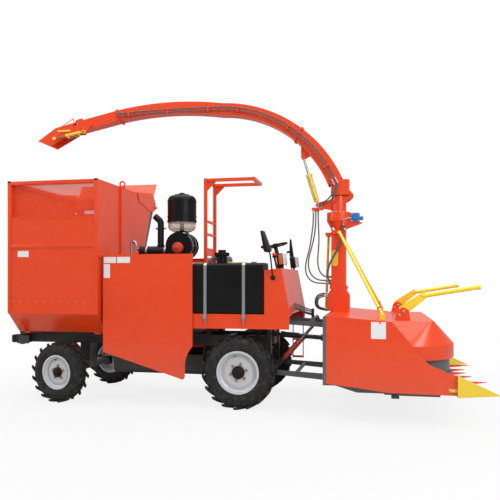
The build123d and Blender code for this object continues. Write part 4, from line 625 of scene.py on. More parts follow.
# Hoses from the boom's pipes to the valve block on the spout head, and the way they leave the pipes
BOOM_ROUTES = (
    ((1406, -159, 3500), (1424, -162, 3464), (1430, -170, 3400), (1405, -178, 3310), (1350, -170, 3220),
     (1270, -140, 3165), (1205, -100, 3150), (1165, -75, 3120), (1160, -70, 3090)),
    ((1352, -159, 3473), (1370, -163, 3438), (1372, -172, 3370), (1340, -178, 3280), (1280, -165, 3210),
     (1210, -130, 3175), (1150, -98, 3155), (1122, -80, 3122), (1118, -76, 3090)),
)
BOOM_HOSE_WAY = Vector((0.454, 0, -0.891))


class HARVESTER_OT_hoses(bpy.types.Operator):
    """Hang the hydraulic hoses of spout, mast and header, with their end sleeves"""
    bl_idname = "harvester.hoses"
    bl_label = "Hydraulic hoses"

    def execute(self, context):
        tops, feet, starts = [], [], []
        for name, y, long, route in HOSE_ROUTES:
            points = [place(x, y, z) for x, z in route]
            hose = hang_hose(f"{name}_rubber", points, ("spout_head", "header"), (1, -3))
            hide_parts(name)
            tops.append(facing(points[0], DOWN))
            feet.append(facing(points[-1], AFT))
        for number, (y, rise) in enumerate(FEED_ROWS, 1):
            points = [place(x, y, z + rise) for x, z in FEED_ROUTE]
            hang_hose(f"feed_hose_{number}", points, ("chassis", "upper_links"), (1, 4))
        for step, y in enumerate(LOOP_Y):
            points = [place(x + step * dx, y, z + step * dz)
                      for (x, z), (dx, dz) in zip(LOOP_ROUTE, LOOP_STEP)]
            hang_hose(f"mast_foot_hose_{step + 1}", points, ("header",))
            feet += [facing(points[0], AFT), facing(points[-1], AFT)]
        points = [place(*row) for row in MOTOR_ROUTE]
        hang_hose("swing_motor_hose", points, ("header",), thick=MOTOR_HOSE)
        feet.append(facing(points[0], DOWN))
        for number, route in enumerate(BOOM_ROUTES, 1):
            points = [place(*row) for row in route]
            hang_hose(f"boom_foot_hose_{number}", points, ("boom", "spout_head"), (2, -3))
            starts += [facing(points[0], BOOM_HOSE_WAY), facing(points[0], -BOOM_HOSE_WAY)]
            tops.append(facing(points[-1], UP))
        ferrules("spout_head_sleeves", "spout_head", tops)
        ferrules("mast_sleeves", "header", feet)
        ferrules("boom_sleeves", "boom", starts)
        clip = block((1034, -368, 1346), (1066, -232, 1488), 0.008)
        dress("feed_hose_clip", "trim", "upper_links", clip)
        return {"FINISHED"}


# Wheels: end of the machine, hub radius, hub face, disc face, nut circle, nuts, wall ribs, valve radius
WHEELS = (
    ("front", 0.094, 0.0956, 0.0616, 0.128, 6, ((0.352, 0.130), (0.395, 0.1415)), 0.232),
    ("rear", 0.076, 0.0884, 0.0544, 0.106, 5, ((0.299, 0.107), (0.336, 0.1195)), 0.19),
)
NUT_RADIUS = 0.0155
# Y and Z of the front wheels, X, Y and Z of the kingpins, and the rear wheels' distance from them
FRONT_WHEEL = (862.5, 552.5)
KINGPIN = (-2880, 735, 475)
REAR_OFFSET = 0.185
STEER_SHOWN = math.radians(-10.7)


def wheel_place(end, hand):
    """Matrix from a wheel built along -Y at the origin to its place on the machine."""
    turn = Matrix.Rotation(0 if hand < 0 else math.pi, 4, "Z")
    if end == "front":
        y, z = FRONT_WHEEL
        return shift(0, hand * y, z) @ turn
    x, y, z = KINGPIN
    steered = shift(x, hand * y, z) @ Matrix.Rotation(STEER_SHOWN, 4, "Z")
    return steered @ Matrix.Translation((0, hand * REAR_OFFSET, 0)) @ turn


class HARVESTER_OT_wheels(bpy.types.Operator):
    """Put hub covers, wheel nuts, valves and tyre wall ribs on the wheels"""
    bl_idname = "harvester.wheels"
    bl_label = "Wheel fittings"

    def execute(self, context):
        outward = Matrix.Rotation(math.pi / 2, 4, "X")
        for end, hub_r, hub_y, disc_y, circle, count, ribs, valve_r in WHEELS:
            profile = [(hub_r + 0.004, disc_y + 0.001), (hub_r + 0.004, hub_y - 0.004),
                       (hub_r - 0.004, hub_y + 0.004), (0.72 * hub_r, hub_y + 0.008),
                       (0.68 * hub_r, hub_y + 0.028), (0.6 * hub_r, hub_y + 0.034),
                       (0.18 * hub_r, hub_y + 0.036)]
            for hand, side in zip(HANDS, ("right", "left")):
                wheel = f"{end}_{side}"
                body = f"wheel_{wheel}"
                there = wheel_place(end, hand)
                cover = turned(profile, 40, there @ outward)
                dress(f"hub_cover_{wheel}", "trim", body, cover, slot="dark_steel")
                spots = []
                for step in range(count):
                    angle = 2 * math.pi * (step + 0.25) / count
                    local = Vector((circle * math.cos(angle), -disc_y, circle * math.sin(angle)))
                    spots.append(facing(there @ local, there.to_3x3() @ Vector(RIGHT)))
                bolts(f"wheel_nuts_{wheel}", "zinc", body, NUT_RADIUS, spots)
                rings = [rib(radius, 0.006, there @ outward @ Matrix.Translation((0, 0, out)))
                         for radius, out in ribs]
                dress(f"tyre_wall_ribs_{wheel}", "tyre", body, *rings)
                stem = bar(there @ Vector((-0.25 * valve_r, -disc_y + 0.004, valve_r)),
                           there @ Vector((-0.25 * valve_r, -disc_y - 0.034, valve_r + 0.008)), 0.007, 10)
                dress(f"valve_{wheel}", "trim", body, stem)
        return {"FINISHED"}


# Bin: width, height and middle of the screen, X of the frame's posts, Z of its rails
SCREEN = (1.463, 0.587)
SCREEN_MIDDLE = (-2953.5, -1042, 3183.5)
BIN_POSTS = (-3695, -2212)
BIN_RAILS = (3469, 2466)


def bin_screen():
    """Diamond mesh: a grid on its corner, cut to the opening, with each face pierced inside its bars."""
    wide, high = SCREEN
    side = (wide + high) / math.sqrt(2) + 0.02
    cells = int(side / (sizes().screen_pitch / math.sqrt(2)))
    screen = fresh(bpy.ops.mesh.primitive_grid_add, x_subdivisions=cells, y_subdivisions=cells, size=side)
    edit(screen)
    bpy.ops.transform.rotate(value=math.radians(45), orient_axis="Z", center_override=(0, 0, 0))
    for way, reach in ((FORE, wide / 2), (AFT, wide / 2), (LEFT, high / 2), (RIGHT, high / 2)):
        select_whole()
        bpy.ops.mesh.bisect(plane_co=Vector(way) * reach, plane_no=way, clear_outer=True)
    bpy.ops.mesh.select_mode(type="FACE")
    select_whole()
    bpy.ops.mesh.inset(thickness=sizes().screen_bar / 2, use_individual=True)
    bpy.ops.mesh.delete(type="FACE")
    leave()
    modified(screen, "SOLIDIFY", thickness=0.003, offset=0)
    return settle(screen, upright(place(*SCREEN_MIDDLE), RIGHT))


class HARVESTER_OT_bin(bpy.types.Operator):
    """Make the screen, side frame, plugs, rivets, plate, lifting eye and gate pins of the collecting bin"""
    bl_idname = "harvester.bin"
    bl_label = "Bin fittings"

    def execute(self, context):
        screen = dress("bin_screen_mesh", "red", "bin", bin_screen())
        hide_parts("bin_screen")
        plugs = [block((x - 26, -1117, 3474), (x + 26, -1060, 3503), 0.004) for x in BIN_POSTS]
        dress("bin_tube_plugs", "trim", "bin", *plugs)
        rivet = turned([(0.009, 0), (0.009, 0.001), (0.0075, 0.0035), (0.004, 0.005)], 12)
        spots = [at(x, -1100, 1589, RIGHT) for x in range(-3640, -2260, 137)]
        dress("bin_rivets", "steel", "bin", copies(rivet, spots))
        tubes = [block((x - 28, -1114, 1440), (x + 28, -1096, 3497), 0.004) for x in BIN_POSTS]
        tubes += [block((-3668, -1110, z - 28), (-2239, -1096, z + 28), 0.004) for z in BIN_RAILS]
        dress("bin_side_frame", "red", "bin", *tubes)
        plates("bin_plate", "bin", (((-3455, -1100, 2345), 190, 95),))
        ring = band(0.03, 0.02, 0.026, at(-2212, -100, 3566, LEFT), 24)
        foot = block((-2262, -112, 3494), (-2162, -88, 3530), 0.006)
        dress("bin_lifting_eye", "red", "bin", ring, foot)
        spots = [at(-2156, 1360, 3330, FORE), at(-3751, 1360, 3330, AFT)]
        bolts("gate_pin_heads", "steel", "bin", 0.02, spots)
        return {"FINISHED"}


# Plates on the engine panel: middle, width and height
PANEL_PLATES = (((-2014, -1030, 2243), 202, 93), ((-1790, -1030, 2243), 213, 93),
                ((-2064, -1030, 2073), 103, 216))


class HARVESTER_OT_panels(bpy.types.Operator):
    """Put the blank plates on the engine panel"""
    bl_idname = "harvester.panels"
    bl_label = "Engine panel fittings"

    def execute(self, context):
        plates("engine_panel_plates", "chassis", PANEL_PLATES)
        return {"FINISHED"}


# Air cleaner: X of its middle, Z of its lying body; Y of the pre-cleaner and the silencer; Z of the silencer
AIR_X, AIR_Z = -1070, 2486
STACK_Y = -350
SILENCER_Z = 2400
BODY_CLAMPS_Y = (-400, -200)
NECK_CLAMPS_Z = (2690, 2640)
SILENCER_CLAMPS_X = (-1660, -1340)
OUTLET_X = -1433
BREATHER = ((-1965, -300, 2198), (-1965, -300, 2360), (-1965, -300, 2480), (-1962, -300, 2560),
            (-1918, -300, 2575), (-1884, -300, 2545), (-1880, -300, 2490))


class HARVESTER_OT_intake(bpy.types.Operator):
    """Dress the air cleaner, the silencer and the breather pipe"""
    bl_idname = "harvester.intake"
    bl_label = "Intake and exhaust"

    def execute(self, context):
        ribs = [band(0.2, 0.014, 0.005, at(AIR_X, y, AIR_Z, LEFT)) for y in (-500, -455, -300, -255, -165)]
        ribs += [band(0.232, wide, 0.006, shift(AIR_X, STACK_Y, z))
                 for z, wide in ((2880, 0.03), (2960, 0.012), (3210, 0.012))]
        knob = turned([(0.05, 0), (0.05, 0.018), (0.038, 0.03), (0.016, 0.036)], 24,
                      shift(AIR_X, STACK_Y, 3316))
        dress("air_cleaner_ribs", "black", "chassis", knob, *ribs)
        hoops = [band(0.2, 0.03, 0.003, at(AIR_X, y, AIR_Z, LEFT)) for y in BODY_CLAMPS_Y]
        hoops += [band(0.11, 0.016, 0.004, shift(AIR_X, STACK_Y, z)) for z in NECK_CLAMPS_Z]
        hoops += [band(0.088, 0.03, 0.003, at(x, STACK_Y, SILENCER_Z, FORE)) for x in SILENCER_CLAMPS_X]
        dress("clamp_bands", "steel", "chassis", *hoops)
        spots = [at(AIR_X + 206, y, AIR_Z, FORE) for y in BODY_CLAMPS_Y]
        spots += [at(AIR_X, STACK_Y - 118, z, RIGHT) for z in NECK_CLAMPS_Z]
        spots += [at(x, STACK_Y - 92, SILENCER_Z, RIGHT) for x in SILENCER_CLAMPS_X]
        bolts("clamp_bolts", "steel", "chassis", 0.009, spots)
        cap = turned([(0.085, 0), (0.09, 0.008), (0.09, 0.045), (0.078, 0.068), (0.05, 0.08), (0.022, 0.084),
                      (0.02, 0.11), (0.012, 0.116)], 32, at(AIR_X, -541, 2446, RIGHT))
        dress("dust_valve", "cap_rubber", "chassis", cap)
        rims = [band(0.088, 0.012, 0.007, at(x, STACK_Y, SILENCER_Z, FORE)) for x in (-1776, -1294)]
        rims.append(band(0.052, 0.02, 0.008, shift(OUTLET_X, STACK_Y, 2500), 32))
        rims += [block((x - 8, -362, 2762), (x + 8, -338, 2788), 0.003)
                 for x in (OUTLET_X - 76, OUTLET_X + 76)]
        dress("silencer_rims", "exhaust", "chassis", *rims)
        pipe = pipe_run(BREATHER, 0.021)
        stub = bar(place(-1835, -350, 2440), place(-1778, -350, 2440), 0.027)
        foot = turned([(0.05, 0), (0.05, 0.008), (0.03, 0.012), (0.028, 0.04)], 20, shift(-1965, -300, 2200))
        dress("breather_pipe", "steel", "chassis", pipe, stub, foot)
        return {"FINISHED"}


# Fuel tank: X of the straps, X and Y of the filler cap, grips round the cap, filler elbow
STRAPS_X = (-497, 94)
CAP_X, CAP_Y = -277, -830
CAP_GRIPS = 24
ELBOW = ((-330, -830, 2262), (-380, -830, 2268), (-425, -830, 2262), (-440, -830, 2225), (-440, -830, 2188))


class HARVESTER_OT_tank(bpy.types.Operator):
    """Add the strap bolts, the ribbed filler cap, the filler elbow and the strip on the fuel tank"""
    bl_idname = "harvester.tank"
    bl_label = "Fuel tank fittings"

    def execute(self, context):
        studs = [bar(place(x, -1003, 1360), place(x, -1003, 1250), 0.007, 12) for x in STRAPS_X]
        dress("strap_studs", "steel", "chassis", *studs)
        spots = [at(x, -1003, z, DOWN) for z in (1355, 1320) for x in STRAPS_X]
        spots += [at(x, -1022, 1384, RIGHT) for x in STRAPS_X]
        bolts("strap_nuts", "steel", "chassis", 0.011, spots)
        grip = block((CAP_X + 97, CAP_Y - 8, 2304), (CAP_X + 113, CAP_Y + 8, 2346), 0.003)
        one_on = turn_about(place(CAP_X, CAP_Y, 0), 360 / CAP_GRIPS, "Z")
        steps = [Matrix.Identity(4)]
        while len(steps) < CAP_GRIPS:
            steps.append(one_on @ steps[-1])
        dress("filler_cap_grips", "black", "chassis", copies(grip, steps))
        dress("filler_elbow", "hose", "chassis", pipe_run(ELBOW, 0.034))
        dress("tank_top_strip", "yellow", "chassis", block((-168, -918, 2188), (96, -884, 2203), 0.004))
        dress("sender_ring", "steel", "chassis", band(0.038, 0.01, 0.006, shift(210, -790, 2204), 24))
        return {"FINISHED"}


# Seat: steps and pressure of the cloth that blows up its pads, size of the remesh, fill of the foam
PAD_STEPS = 20
PAD_PRESSURE = 4
PAD_VOXEL, PAD_VOXEL_QUICK = 0.006, 0.008


def stuffed(low, high, corner, floor_z=None):
    """Pad from a rounded block: remeshed, blown up as cloth around its foam, held to its swell, smoothed."""
    pad = block(low, high, corner)
    modified(pad, "REMESH", mode="VOXEL", voxel_size=PAD_VOXEL)
    before = [vertex.co.copy() for vertex in pad.data.vertices]
    cloth = pad.modifiers.new("stuffing", "CLOTH")
    cloth.settings.use_pressure = True
    cloth.settings.uniform_pressure_force = PAD_PRESSURE
    cloth.settings.effector_weights.gravity = 0
    for step in range(1, PAD_STEPS + 1):
        bpy.context.scene.frame_set(step)
    only(pad)
    bpy.ops.object.modifier_apply(modifier=cloth.name)
    bpy.context.scene.frame_set(1)
    most = sizes().swell
    for vertex, start in zip(pad.data.vertices, before):
        moved = vertex.co - start
        if moved.length > most:
            vertex.co = start + moved * (most / moved.length)
        if floor_z is not None:
            vertex.co.z = max(vertex.co.z, floor_z)
    modified(pad, "SUBSURF", levels=1, render_levels=1)
    smooth(pad, 60)
    return pad


class HARVESTER_OT_operator_place(bpy.types.Operator):
    """Make the seat's pads, floor mat, lever knobs and canopy fittings"""
    bl_idname = "harvester.operator_place"
    bl_label = "Operator's place"

    def execute(self, context):
        cushion = stuffed((-326, -216, 1796), (96, 216, 1886), 0.03, place(0, 0, 1791).z)
        dress("seat_cushion", "vinyl", "chassis", cushion)
        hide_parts("seat")
        back = stuffed((-436, -200, 1878), (-366, 200, 2344), 0.028)
        dress("seat_back", "vinyl", "chassis", back)
        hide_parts("seat")
        arm = block((-446, -60, 1791), (-340, 60, 1806), 0.003)
        post = block((-446, -60, 1791), (-430, 60, 2000), 0.003)
        dress("seat_bracket", "frame", "chassis", arm, post)
        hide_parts("seat")
        mat = block((70, -530, 1425), (385, 940, 1430), 0.002)
        ridges = copies(block((84, -516, 1429), (92, 926, 1434), 0.0015),
                        [Matrix.Translation((0.021 * n, 0, 0)) for n in range(14)])
        dress("floor_mat", "hose", "chassis", mat, ridges)
        spots = [at(x, hand * 310, z, (0, hand, 0)) for hand in HANDS
                 for x, z in ((-690, 3400), (-690, 3500), (-640, 3550), (-560, 3550))]
        bolts("canopy_bolts", "red", "chassis", 0.009, spots)
        sleeves = [block((x - 24, hand * 285 - 24, 3572), (x + 24, hand * 285 + 24, 3579), 0.003)
                   for x in (-690, 105) for hand in HANDS]
        dress("canopy_plugs", "trim", "chassis", *sleeves)
        knob = turned([(0.009, 0), (0.02, 0.008), (0.026, 0.024), (0.024, 0.042), (0.012, 0.052)], 20)
        dress("lever_knobs", "red", "chassis", copies(knob, [shift(424, y, 2318) for y in (-260, -140)]))
        horn = turned([(0.046, 0), (0.046, 0.006), (0.03, 0.016), (0.012, 0.019)], 28,
                      at(400, 0, 2512, (-100, 0, 404)))
        dress("steering_wheel_cap", "trim", "chassis", horn)
        return {"FINISHED"}


# Mirrors: side, place of the head, lean, turn and X of the stalk's neck
MIRRORS = ((-1, (432, -1060, 2500), -16, -7, 500), (1, (520, 1060, 2505), -4, 7, 530))
LAMP_TILT = -7


def mirror_head(there):
    """Mirror housing drawn in towards its top, with rounded edges."""
    head = fresh(bpy.ops.mesh.primitive_cube_add, size=1)
    head.scale = (0.075, 0.19, 0.32)
    settle(head)
    edit(head)
    pick(head, lambda face: face.normal.z > 0.9)
    bpy.ops.transform.resize(value=(0.4, 0.82, 1), center_override=(0, 0, 0.16))
    select_whole()
    bpy.ops.mesh.bevel(offset=0.014, segments=4, affect="EDGES")
    leave()
    smooth(head, 50)
    return settle(head, there)


class HARVESTER_OT_mirrors(bpy.types.Operator):
    """Model the mirrors on their stalks and the lamps on the cowl"""
    bl_idname = "harvester.mirrors"
    bl_label = "Mirrors and lamps"

    def execute(self, context):
        housings, glasses, lenses, ambers = [], [], [], []
        for hand, spot, lean, turn, neck in MIRRORS:
            there = shift(*spot) @ Matrix.Rotation(math.radians(turn), 4, "Z")
            there = there @ Matrix.Rotation(math.radians(lean), 4, "Y")
            head = mirror_head(there)
            glass_place = upright(Vector((-0.0265, 0, -0.005)), (-0.9976, 0, 0.0702))
            glasses.append(sheet(0.13, 0.26, 0.003, there @ glass_place, 0.018))
            clamp = bar(there @ Vector((-0.02, 0, -0.06)), there @ Vector((-0.085, 0, -0.07)), 0.02)
            stalk = pipe_run(((534, hand * 985, 1968), (534, hand * 1030, 1985), (528, hand * 1048, 2080),
                              (neck + 12, hand * 1054, 2250), (neck, hand * 1056, 2330),
                              (spot[0] + 20, hand * 1060, 2430)), 0.011)
            base = turned([(0.036, 0), (0.036, 0.014), (0.026, 0.026), (0.012, 0.03)], 24,
                          at(534, hand * 980, 1968, (0, hand, 0)))
            housings += [head, clamp, stalk, base]
        for hand in HANDS:
            tilt = turn_about(place(600, hand * 720, 2140), LAMP_TILT, "Y")
            housings.append(settle(block((566, hand * 648, 2140), (662, hand * 790, 2334), 0.022), tilt))
            housings.append(bar(place(618, hand * 720, 2080), place(618, hand * 720, 2160), 0.016))
            lenses.append(settle(block((656, hand * 654, 2148), (706, hand * 784, 2326), 0.018), tilt))
            ambers.append(settle(block((598, hand * 770, 2165), (654, hand * 797, 2312), 0.009), tilt))
        frames = dress("mirror_and_lamp_housings", "trim", "chassis", *housings)
        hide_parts("mirrors_and_lamps")
        dress("mirror_glasses", "mirror", "chassis", *glasses)
        dress("lamp_lenses", "lens", "chassis", *lenses)
        dress("signal_lenses", "amber", "chassis", *ambers)
        return {"FINISHED"}


# Header: Y of its sides, of its push bars, of its runners and of its divider straps
HEADER_Y = 1500
PUSH_BAR_Y = 1150
RUNNER_Y = 1425
STRAP_Y = 1508


class HARVESTER_OT_header(bpy.types.Operator):
    """Bolt and plate the header, with pins and end caps on its push bars and its runners"""
    bl_idname = "harvester.header"
    bl_label = "Header fittings"

    def execute(self, context):
        plates("header_plate", "header", (((2050, -HEADER_Y, 1258), 196, 227),))
        spots = []
        for hand in HANDS:
            rows = [(1385, z) for z in range(640, 1400, 180)]
            rows += [(x, 1400 - (x - 1500) * 0.07) for x in range(1500, 2100, 190)]
            spots += [at(x, hand * HEADER_Y, z, (0, hand, 0)) for x, z in rows]
        bolts("header_side_bolts", "red", "header", 0.009, spots)
        spots = [at(2270, y, 1375, UP) for y in range(-900, 1000, 300)]
        bolts("cover_bolts", "steel", "header", sizes().bolt, spots)
        spots = [at(x, hand * PUSH_BAR_Y + out * 42, z, (0, out, 0)) for hand in HANDS for out in HANDS
                 for x, z in ((2390, 1500), (2330, 1450))]
        bolts("push_bar_pins", "steel", "header", 0.011, spots)
        caps = [turned([(0.031, -0.03), (0.034, -0.026), (0.034, 0.004), (0.03, 0.01), (0.014, 0.013)], 24,
                       at(3390, hand * PUSH_BAR_Y, 1840, (750, 0, 125))) for hand in HANDS]
        dress("push_bar_caps", "yellow", "header", *caps)
        runners = [block((2330, hand * RUNNER_Y - 25, 386), (2850, hand * RUNNER_Y + 25, 420), 0.006)
                   for hand in HANDS]
        dress("header_runners", "grey", "header", *runners)
        straps = [block((2950, hand * STRAP_Y - 8, 468), (3075, hand * STRAP_Y + 8, 506), 0.003)
                  for hand in HANDS]
        dress("divider_straps", "yellow", "header", *straps)
        spots = [at(x, hand * (STRAP_Y + 8), 487, (0, hand, 0)) for hand in HANDS for x in (2972, 3040)]
        bolts("divider_bolts", "steel", "header", 0.009, spots)
        return {"FINISHED"}


# Mast: X of its middle, reach of the flange's bolts, slewing ring's bolts and their circle, motor, its pipe
MAST_X = 1435
FLANGE_REACH = (-127, 0, 127)
RING_BOLTS, RING_CIRCLE = 16, 155
MOTOR_X, MOTOR_Z = 1697, 2924
MOTOR_PIPE = ((1640, -92, 2915), (1640, -150, 2912), (1600, -185, 2905), (1545, -186, 2890),
              (1515, -172, 2860), (1515, -165, 2815))
# Nuts of the front stays: share of the stay's length, outer radius; radius of the stay
STAY_NUTS = ((0.93, 0.031), (0.955, 0.027))
STAY_RADIUS = 0.024


class HARVESTER_OT_mast(bpy.types.Operator):
    """Bolt the mast's flange and slewing ring, hang its tag and pipe the swing motor"""
    bl_idname = "harvester.mast"
    bl_label = "Mast fittings"

    def execute(self, context):
        spots = [at(MAST_X + dx, dy, 1830, UP) for dx in FLANGE_REACH for dy in FLANGE_REACH if dx or dy]
        bolts("mast_flange_bolts", "red", "header", 0.011, spots)
        spots = []
        for step in range(RING_BOLTS):
            angle = 2 * math.pi * (step + 0.5) / RING_BOLTS
            spots.append(at(MAST_X + RING_CIRCLE * math.cos(angle), RING_CIRCLE * math.sin(angle), 3004, UP))
        bolts("slewing_ring_bolts", "steel", "spout_head", 0.011, spots)
        tag = sheet(0.097, 0.253, 0.003, upright(place(1381, -113.5, 2281), RIGHT), 0.044)
        dress("mast_tag", "yellow", "header", tag)
        dress("swing_motor_pipe", "steel", "header", pipe_run(MOTOR_PIPE, 0.009))
        spots = [at(MOTOR_X + dx, -75, MOTOR_Z + dz, RIGHT) for dx in (-50, 50) for dz in (-55, 55)]
        spots += [at(MOTOR_X + dx, dy, MOTOR_Z + 70, UP) for dx in (-45, 45) for dy in (-50, 50)]
        bolts("swing_motor_bolts", "steel", "header", 0.008, spots)
        nut = bar(place(1760, -20, 2835), place(1800, -20, 2838), 0.014, 6)
        dress("swing_motor_stop", "zinc", "header", nut)
        nuts = []
        for hand in HANDS:
            top, foot = place(1455, hand * 173.5, 2680), place(2105, hand * 1290, 1455)
            line = foot - top
            nuts += [band(STAY_RADIUS, 0.018, size - STAY_RADIUS, facing(top + line * share, line), 6)
                     for share, size in STAY_NUTS]
        dress("stay_nuts", "frame", "header", *nuts)
        return {"FINISHED"}


# Flanged joints of the duct: top edge in X and Z, way of travel in degrees, depth
DUCT_JOINTS = ((857, 4359, 146, 215), (-2310, 4820, 191.5, 172))


def flap_cheek(hand):
    """Cheek plate beside the flap's pin, with its rear top corner lowered."""
    cheek = block((-3120, hand * 111, 4486), (-2985, hand * 117, 4626), 0.002)
    edit(cheek)
    pick(cheek, lambda vertex: vertex.co.x < place(-3060, 0, 0).x and vertex.co.z > 4.55, "verts")
    bpy.ops.transform.translate(value=(0, 0, -0.03))
    leave()
    return cheek


class HARVESTER_OT_boom(bpy.types.Operator):
    """Bolt the duct's flanged joints and its hood, and fit the flap's cheeks, stay and side bar"""
    bl_idname = "harvester.boom"
    bl_label = "Boom fittings"

    def execute(self, context):
        spots = []
        for x, z, way, depth in DUCT_JOINTS:
            turn = math.radians(way)
            along = Vector((math.cos(turn), 0, math.sin(turn)))
            down = Vector((-math.sin(turn), 0, math.cos(turn)))
            half = depth / 2000
            middle = place(x, 0, z) + down * half
            rows = [(hand * 0.12, v * half) for hand in HANDS for v in (-0.8, 0, 0.8)]
            rows += [(y, v * (half + 0.01)) for y in (-0.07, 0.07) for v in (-1, 1)]
            spots += [facing(middle + down * v + along * 0.012 * side + Vector((0, y, 0)), along * side)
                      for y, v in rows for side in (-1, 1)]
        bolts("duct_joint_bolts", "red", "boom", 0.0085, spots)
        spots = [at(x, hand * 140, z, (0, hand, 0)) for hand in HANDS for x in (1345, 1455, 1570)
                 for z in (3300, 3490)]
        bolts("hood_bolts", "red", "boom", 0.009, spots)
        dress("flap_joint_cheeks", "red", "boom", *map(flap_cheek, HANDS))
        post = bar(place(-3105, -100, 4642), place(-3120, -100, 4735), 0.008, 12)
        stay = bar(place(-3118, -100, 4730), place(-3330, -100, 4604), 0.006, 12)
        dress("flap_top_stay", "red", "flap", post, stay)
        dress("flap_side_bar", "yellow", "flap", block((-3400, -138, 4500), (-3160, -127, 4530), 0.003))
        return {"FINISHED"}


# Cylinder barrels: body, base, eye, distance of the two ports from the base, radius, way the ports face
BARRELS = (
    ("boom_barrel", (1100, 0, 3135), (870, 0, 3907), (110, 470), 46, RIGHT),
    ("flap_barrel", (-2894, -165, 4474), (-3438, -165, 4380), (90, 285), 28, (0.17, 0, -0.985)),
    ("tip_barrel", (-3150, 300, 620), (-3150, -300, 1000), (160, 515), 42, FORE),
    ("lift_barrels", (560, -300, 670), (1070, -300, 1251), (100, 385), 38, RIGHT),
    ("lift_barrels", (560, 300, 670), (1070, 300, 1251), (100, 385), 38, LEFT),
)
PORT_BOSS = [(0.017, -0.006), (0.017, 0.012), (0.014, 0.014), (0.014, 0.026), (0.011, 0.028)]


class HARVESTER_OT_cylinders(bpy.types.Operator):
    """Put ports and transfer pipes on the cylinders, and the cup on the flap rod's eye"""
    bl_idname = "harvester.cylinders"
    bl_label = "Cylinder fittings"

    def execute(self, context):
        for number, (body, base, eye, ports, radius, way) in enumerate(BARRELS, 1):
            start = place(*base)
            along = (place(*eye) - start).normalized()
            way = Vector(way)
            way = (way - along * way.dot(along)).normalized()
            parts = [turned(PORT_BOSS, 12, facing(start + along * port / 1000 + way * radius / 1000, way))
                     for port in ports]
            out = way * (radius / 1000 + 0.02)
            low, high = (start + along * port / 1000 + out for port in ports)
            pipe, _ = tube([low, low + along * 0.03 + way * 0.012, low + along * 0.07 + way * 0.002,
                            high - along * 0.07 + way * 0.002, high - along * 0.03 + way * 0.012, high],
                           0.007)
            dress(f"cylinder_pipe_{number}", "steel", body, *parts, pipe)
        cup = turned([(0.03, 0), (0.03, 0.042), (0.026, 0.044), (0.012, 0.044)], 28,
                     at(-3438, -143.5, 4380, RIGHT))
        dress("flap_rod_eye", "yellow", "flap_rod", cup)
        return {"FINISHED"}


class HARVESTER_OT_chassis(bpy.types.Operator):
    """Add the tail lamps on their brackets"""
    bl_idname = "harvester.chassis"
    bl_label = "Chassis fittings"

    def execute(self, context):
        brackets, housings, lenses = [], [], []
        for hand in HANDS:
            brackets.append(block((-3662, hand * 636, 940), (-3646, hand * 975, 1050), 0.003))
            brackets.append(block((-3650, hand * 948, 915), (-3440, hand * 962, 1045), 0.003))
            housings.append(block((-3722, hand * 860, 930), (-3652, hand * 985, 1056), 0.012))
            spot = upright(place(-3720, hand * 922, 993), AFT)
            lenses.append(sheet(0.108, 0.11, 0.018, spot, 0.012, 0.006))
        dress("tail_lamp_brackets", "frame", "chassis", *brackets)
        dress("tail_lamp_housings", "trim", "chassis", *housings)
        dress("tail_lamp_lenses", "tail", "chassis", *lenses)
        return {"FINISHED"}


# Camera of the photo: place, turn in degrees, focal length and sensor in millimetres, shift of the picture
CAMERA_PLACE = (2030, -9858, 1934)
CAMERA_TURN = (90, 0, 11.72)
FOCAL_LENGTH, SENSOR_WIDTH = 44.06, 36
CAMERA_SHIFT = 0.06
# Lamps: name, place, aim, side of the square, watts
LAMPS = (
    ("key_lamp", (8.0, -8.5, 7.0), (0, 0, 1.6), 5.0, 540),
    ("fill_lamp", (-11.0, -4.0, 5.0), (0, 0, 1.6), 5.0, 240),
    ("top_lamp", (0.0, 0.0, 11.0), (0, 0, 0), 14.0, 1500),
)
WHITE = (1, 1, 1, 1)
FLOOR_GREY = (0.55, 0.55, 0.55, 1)
FLOOR_RADIUS = 60
# The floor goes over to white between these distances, from this share of it
FADE_NEAR, FADE_FAR, FADE_SHARE = 3.0, 7.5, 0.84
SKY_LIGHT = 0.48


def seen_directly(tree):
    """Socket that is 1 for what the camera sees, straight or through glass."""
    rays = add(tree, "LightPath")
    return add(tree, "Math", {0: rays.outputs["Is Camera Ray"], 1: rays.outputs["Is Transmission Ray"]},
               operation="MAXIMUM").outputs[0]


def pale_floor():
    """Pale studio floor: takes the shadow near the machine and goes over to white around it."""
    material, tree = blank_material("pale_floor")
    here = add(tree, "TexCoord").outputs["Object"]
    far = add(tree, "VectorMath", {0: here}, operation="LENGTH")
    fade = add(tree, "MapRange", {"Value": far.outputs["Value"], "From Min": FADE_NEAR, "From Max": FADE_FAR,
                                  "To Min": FADE_SHARE, "To Max": 1.0})
    part = add(tree, "Math", {0: seen_directly(tree), 1: fade.outputs["Result"]}, operation="MULTIPLY")
    matt = add(tree, "BsdfDiffuse", {"Color": FLOOR_GREY})
    glow = add(tree, "Emission", {"Color": WHITE, "Strength": 1.0})
    mixed = add(tree, "MixShader", {"Fac": part.outputs[0], 1: matt.outputs[0], 2: glow.outputs[0]})
    add(tree, "OutputMaterial", {"Surface": mixed.outputs[0]})
    return material


